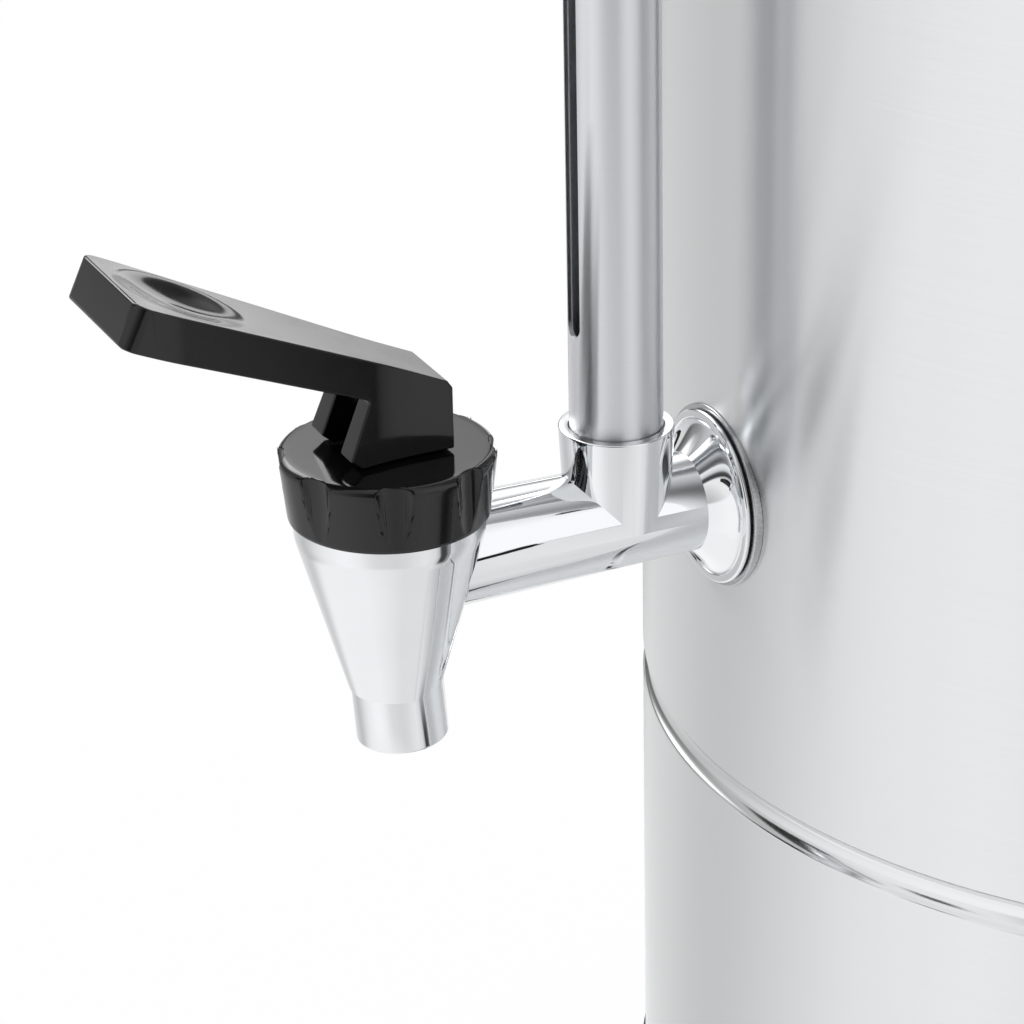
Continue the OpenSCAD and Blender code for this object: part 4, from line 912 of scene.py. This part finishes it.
KEPT = {
    "plate_screws": turned_steel, "heater_plate": aluminium, "heating_element": element_alloy,
    "thermostat": control_black, "thermal_cutout": steatite, "switch_housing": control_black,
    "switch_rocker": rocker_black, "power_inlet": control_black, "inlet_pins": brass,
    "inlet_screws": turned_steel, "handle_screws": turned_steel, "lid_screw": turned_steel,
    "tank_gasket": silicone, "tank_nut": brass, "lever_pin": turned_steel,
    "valve_stem": turned_steel, "valve_cup": silicone, "tap_spring": wire_steel,
    "sight_glass": glass, "lower_seal": silicone, "upper_seal": silicone,
    "bracket_screw": turned_steel,
}

for node_name, material in KEPT.items():
    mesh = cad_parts[node_name].data
    mesh.materials.clear()
    mesh.materials.append(material)

# ------------------------------------------------------------------ floor, light and camera

# Brightness of the studio by compass angle, in degrees from +X, as metal and plastic see it:
# the white table close by and further off, the walls above it, and one large soft lamp
NEAR_SIDE = [(-180, 1.0), (-137, 0.96), (-66, 0.96), (-31, 0.88), (-5, 0.8), (34, 0.8), (48, 0.6),
             (77, 0.3), (93, 0.2), (116, 0.4), (134, 0.8), (180, 1.0)]
TABLE_SIDE = [(-180, 0.72), (-165, 0.64), (-150, 0.56), (-138, 0.64), (-126, 0.78), (-112, 0.9),
              (-100, 0.95), (-88, 1.0), (-74, 1.0), (-60, 0.94), (-50, 0.84), (-40, 0.77),
              (-16, 0.72), (-4, 0.75), (5, 0.8), (20, 0.86), (33, 0.76), (38, 0.5), (40, 0.06),
              (47, 0.06), (51, 0.3), (60, 0.27), (69, 0.2), (71, 0.05), (77, 0.05), (80, 0.25),
              (93, 0.5), (108, 0.88), (134, 0.85), (160, 0.78), (180, 0.72)]
WALL_SIDE = [(-180, 0.05), (-165, 0.1), (-150, 0.3), (-140, 0.5), (-120, 0.65), (-100, 0.85),
             (-78, 0.85), (-58, 0.4), (-38, 0.05), (-16, 0.1), (0, 0.75), (20, 1.0), (41, 1.0),
             (52, 0.92), (65, 0.65), (79, 0.4), (96, 0.25), (120, 0.15), (150, 0.1), (180, 0.05)]
LAMP_SIDE = [(-180, 1.0), (-162, 1.0), (-154, 0.2), (-146, 0.0), (142, 0.0), (152, 0.3),
             (163, 0.6), (172, 0.9), (180, 1.0)]
# How the lamp's brightness follows the height, in degrees over the horizon
LAMP_HEIGHT = [(0, 0.0), (12, 0.03), (22, 0.35), (30, 1.0), (46, 1.0), (58, 0.2), (90, 0.03)]
TABLE_STRENGTH, WALL_STRENGTH, LAMP_STRENGTH, CEILING = 1.08, 1.15, 6.0, 0.9
# Between these heights the near table gives way to the far one, the far one to the walls, and
# the walls to the ceiling
TABLE_EDGE, HORIZON, ROOF_EDGE = (-44, -36), (-2, 2), (38, 62)
# The floor's brightness that only the camera sees; the rest is lit and keeps the shadow
WHITE_SHARE = 0.95
# Cards by compass angle, height, half of each size and brightness: a white one that the lever's
# top mirrors, and black ones that give the chrome its dark lines
CARDS = [(151, 5, 13, 6, 1.8), (-123, 27, 11, 14, 0.02), (-92, 30, 5, 6, 0.02),
         (170, -16, 9, 6, 0.02), (157, 3.5, 8, 2, 0.02), (22, -3, 7, 2.5, 0.02)]


def floor():
    """Plain pale floor that keeps the urn's shadow; mirrors see the studio's brightness there."""
    start()
    bpy.ops.mesh.primitive_plane_add(size=12, location=(0, 0, 0))
    plane = bpy.context.object
    plane.name = "floor"
    material, tree = blank("Painted floor, matt white")
    tone = two_tone(tree, grain(tree, 333), "#f3f3f3", "#f4f4f4")
    lit = add(tree, "BsdfDiffuse", {"Color": tone}).outputs[0]
    white = add(tree, "Emission", {"Color": (1, 1, 1, 1), "Strength": 1.0}).outputs[0]
    path = add(tree, "LightPath").outputs
    part = add(tree, "Math", {0: path["Is Camera Ray"], 1: WHITE_SHARE},
               operation="MULTIPLY").outputs[0]
    seen = add(tree, "MixShader", {"Fac": part, 1: lit, 2: white}).outputs[0]
    clear = add(tree, "BsdfTransparent").outputs[0]
    mirrored = add(tree, "Math", {0: path["Is Glossy Ray"], 1: path["Is Transmission Ray"]},
                   operation="MAXIMUM").outputs[0]
    closed_tree(tree, add(tree, "MixShader", {"Fac": mirrored, 1: seen, 2: clear}).outputs[0])
    plane.data.materials.append(material)


def by_angle(tree, angle, stops, first, last):
    """A brightness that follows an angle in radians through (degrees, value) stops."""
    share = add(tree, "MapRange", {"Value": angle, "From Min": math.radians(first),
                                   "From Max": math.radians(last), "To Min": 0.0, "To Max": 1.0})
    bands = add(tree, "ValToRGB", {"Fac": share.outputs["Result"]})
    elements = bands.color_ramp.elements
    while len(elements) < len(stops):
        elements.new(0.5)
    for element, (degrees, value) in zip(elements, stops):
        element.position = (degrees - first) / (last - first)
        element.color = (value, value, value, 1)
    return bands.outputs["Color"]


def scaled(tree, value, factor):
    """A value times a factor."""
    return add(tree, "Math", {0: value, 1: factor}, operation="MULTIPLY").outputs[0]


def rising(tree, angle, first, last):
    """Goes smoothly from 0 to 1 between two angles in degrees."""
    return add(tree, "MapRange", {"Value": angle, "From Min": math.radians(first),
                                  "From Max": math.radians(last)},
               interpolation_type="SMOOTHSTEP").outputs["Result"]


def surroundings():
    """White studio seen directly; the metal and the floor see its brighter and darker sides."""
    world = bpy.data.worlds.new("Studio")
    bpy.context.scene.world = world
    world.use_nodes = True
    tree = world.node_tree
    tree.nodes.clear()
    view = add(tree, "TexCoord").outputs["Generated"]
    part = add(tree, "SeparateXYZ", {"Vector": view}).outputs
    turn = add(tree, "Math", {0: part["Y"], 1: part["X"]}, operation="ARCTAN2").outputs[0]
    height = add(tree, "Math", {0: part["Z"]}, operation="ARCSINE").outputs[0]
    near, table = (by_angle(tree, turn, side, -180, 180) for side in (NEAR_SIDE, TABLE_SIDE))
    low = add(tree, "Mix", {"Factor": rising(tree, height, *TABLE_EDGE), 2: near, 3: table},
              data_type="FLOAT").outputs[0]
    low = scaled(tree, low, TABLE_STRENGTH)
    walls = scaled(tree, by_angle(tree, turn, WALL_SIDE, -180, 180), WALL_STRENGTH)
    roof = rising(tree, height, *ROOF_EDGE)
    high = add(tree, "Mix", {"Factor": roof, 2: walls, 3: CEILING}, data_type="FLOAT").outputs[0]
    lamp = scaled(tree, by_angle(tree, turn, LAMP_SIDE, -180, 180),
                  by_angle(tree, height, LAMP_HEIGHT, 0, 90))
    high = add(tree, "Math", {0: high, 1: scaled(tree, lamp, LAMP_STRENGTH)},
               operation="ADD").outputs[0]
    studio = add(tree, "Mix", {"Factor": rising(tree, height, *HORIZON), 2: low, 3: high},
                 data_type="FLOAT").outputs[0]
    for compass, level, half_turn, half_height, tone in CARDS:
        across = add(tree, "Math", {0: turn, 1: math.radians(compass), 2: math.radians(half_turn)},
                     operation="COMPARE").outputs[0]
        upright = add(tree, "Math", {0: height, 1: math.radians(level),
                                     2: math.radians(half_height)}, operation="COMPARE").outputs[0]
        studio = add(tree, "Mix", {"Factor": scaled(tree, across, upright), 2: studio, 3: tone},
                     data_type="FLOAT").outputs[0]
    path = add(tree, "LightPath").outputs
    seen = add(tree, "Mix", {"Factor": path["Is Camera Ray"], 6: studio, 7: (1, 1, 1, 1)},
               data_type="RGBA").outputs[2]
    glow = add(tree, "Background", {"Color": seen, "Strength": 1.0})
    add(tree, "OutputWorld", {"Surface": glow.outputs[0]})


def camera():
    """Looks down a little on the tap from its right-hand side."""
    heading, tilt, roll = (math.radians(a) for a in (65.31, 24.78, -1.23))
    place = Vector((615.62, -451.10, 512.17))
    sensor, focal_pixels, image_pixels = 36, 4000, 1024
    right = Vector((math.cos(heading), math.sin(heading), 0))
    level = Vector((-math.sin(heading), math.cos(heading), 0))
    ahead = level * math.cos(tilt) - Vector((0, 0, math.sin(tilt)))
    up = right.cross(ahead)
    side = right * math.cos(roll) + up * math.sin(roll)
    top = up * math.cos(roll) - right * math.sin(roll)
    data = bpy.data.cameras.new("camera")
    data.sensor_width = sensor
    data.lens = sensor * focal_pixels / image_pixels
    data.clip_start, data.clip_end = 0.01, 50
    obj = bpy.data.objects.new("camera", data)
    bpy.context.scene.collection.objects.link(obj)
    turn = Matrix((side, top, -ahead)).transposed().to_4x4()
    obj.matrix_world = Matrix.Translation(place * MM) @ turn
    bpy.context.scene.camera = obj


floor()
surroundings()
camera()

bpy.context.scene.view_settings.view_transform = "Standard"
start()
bpy.context.view_layer.update()
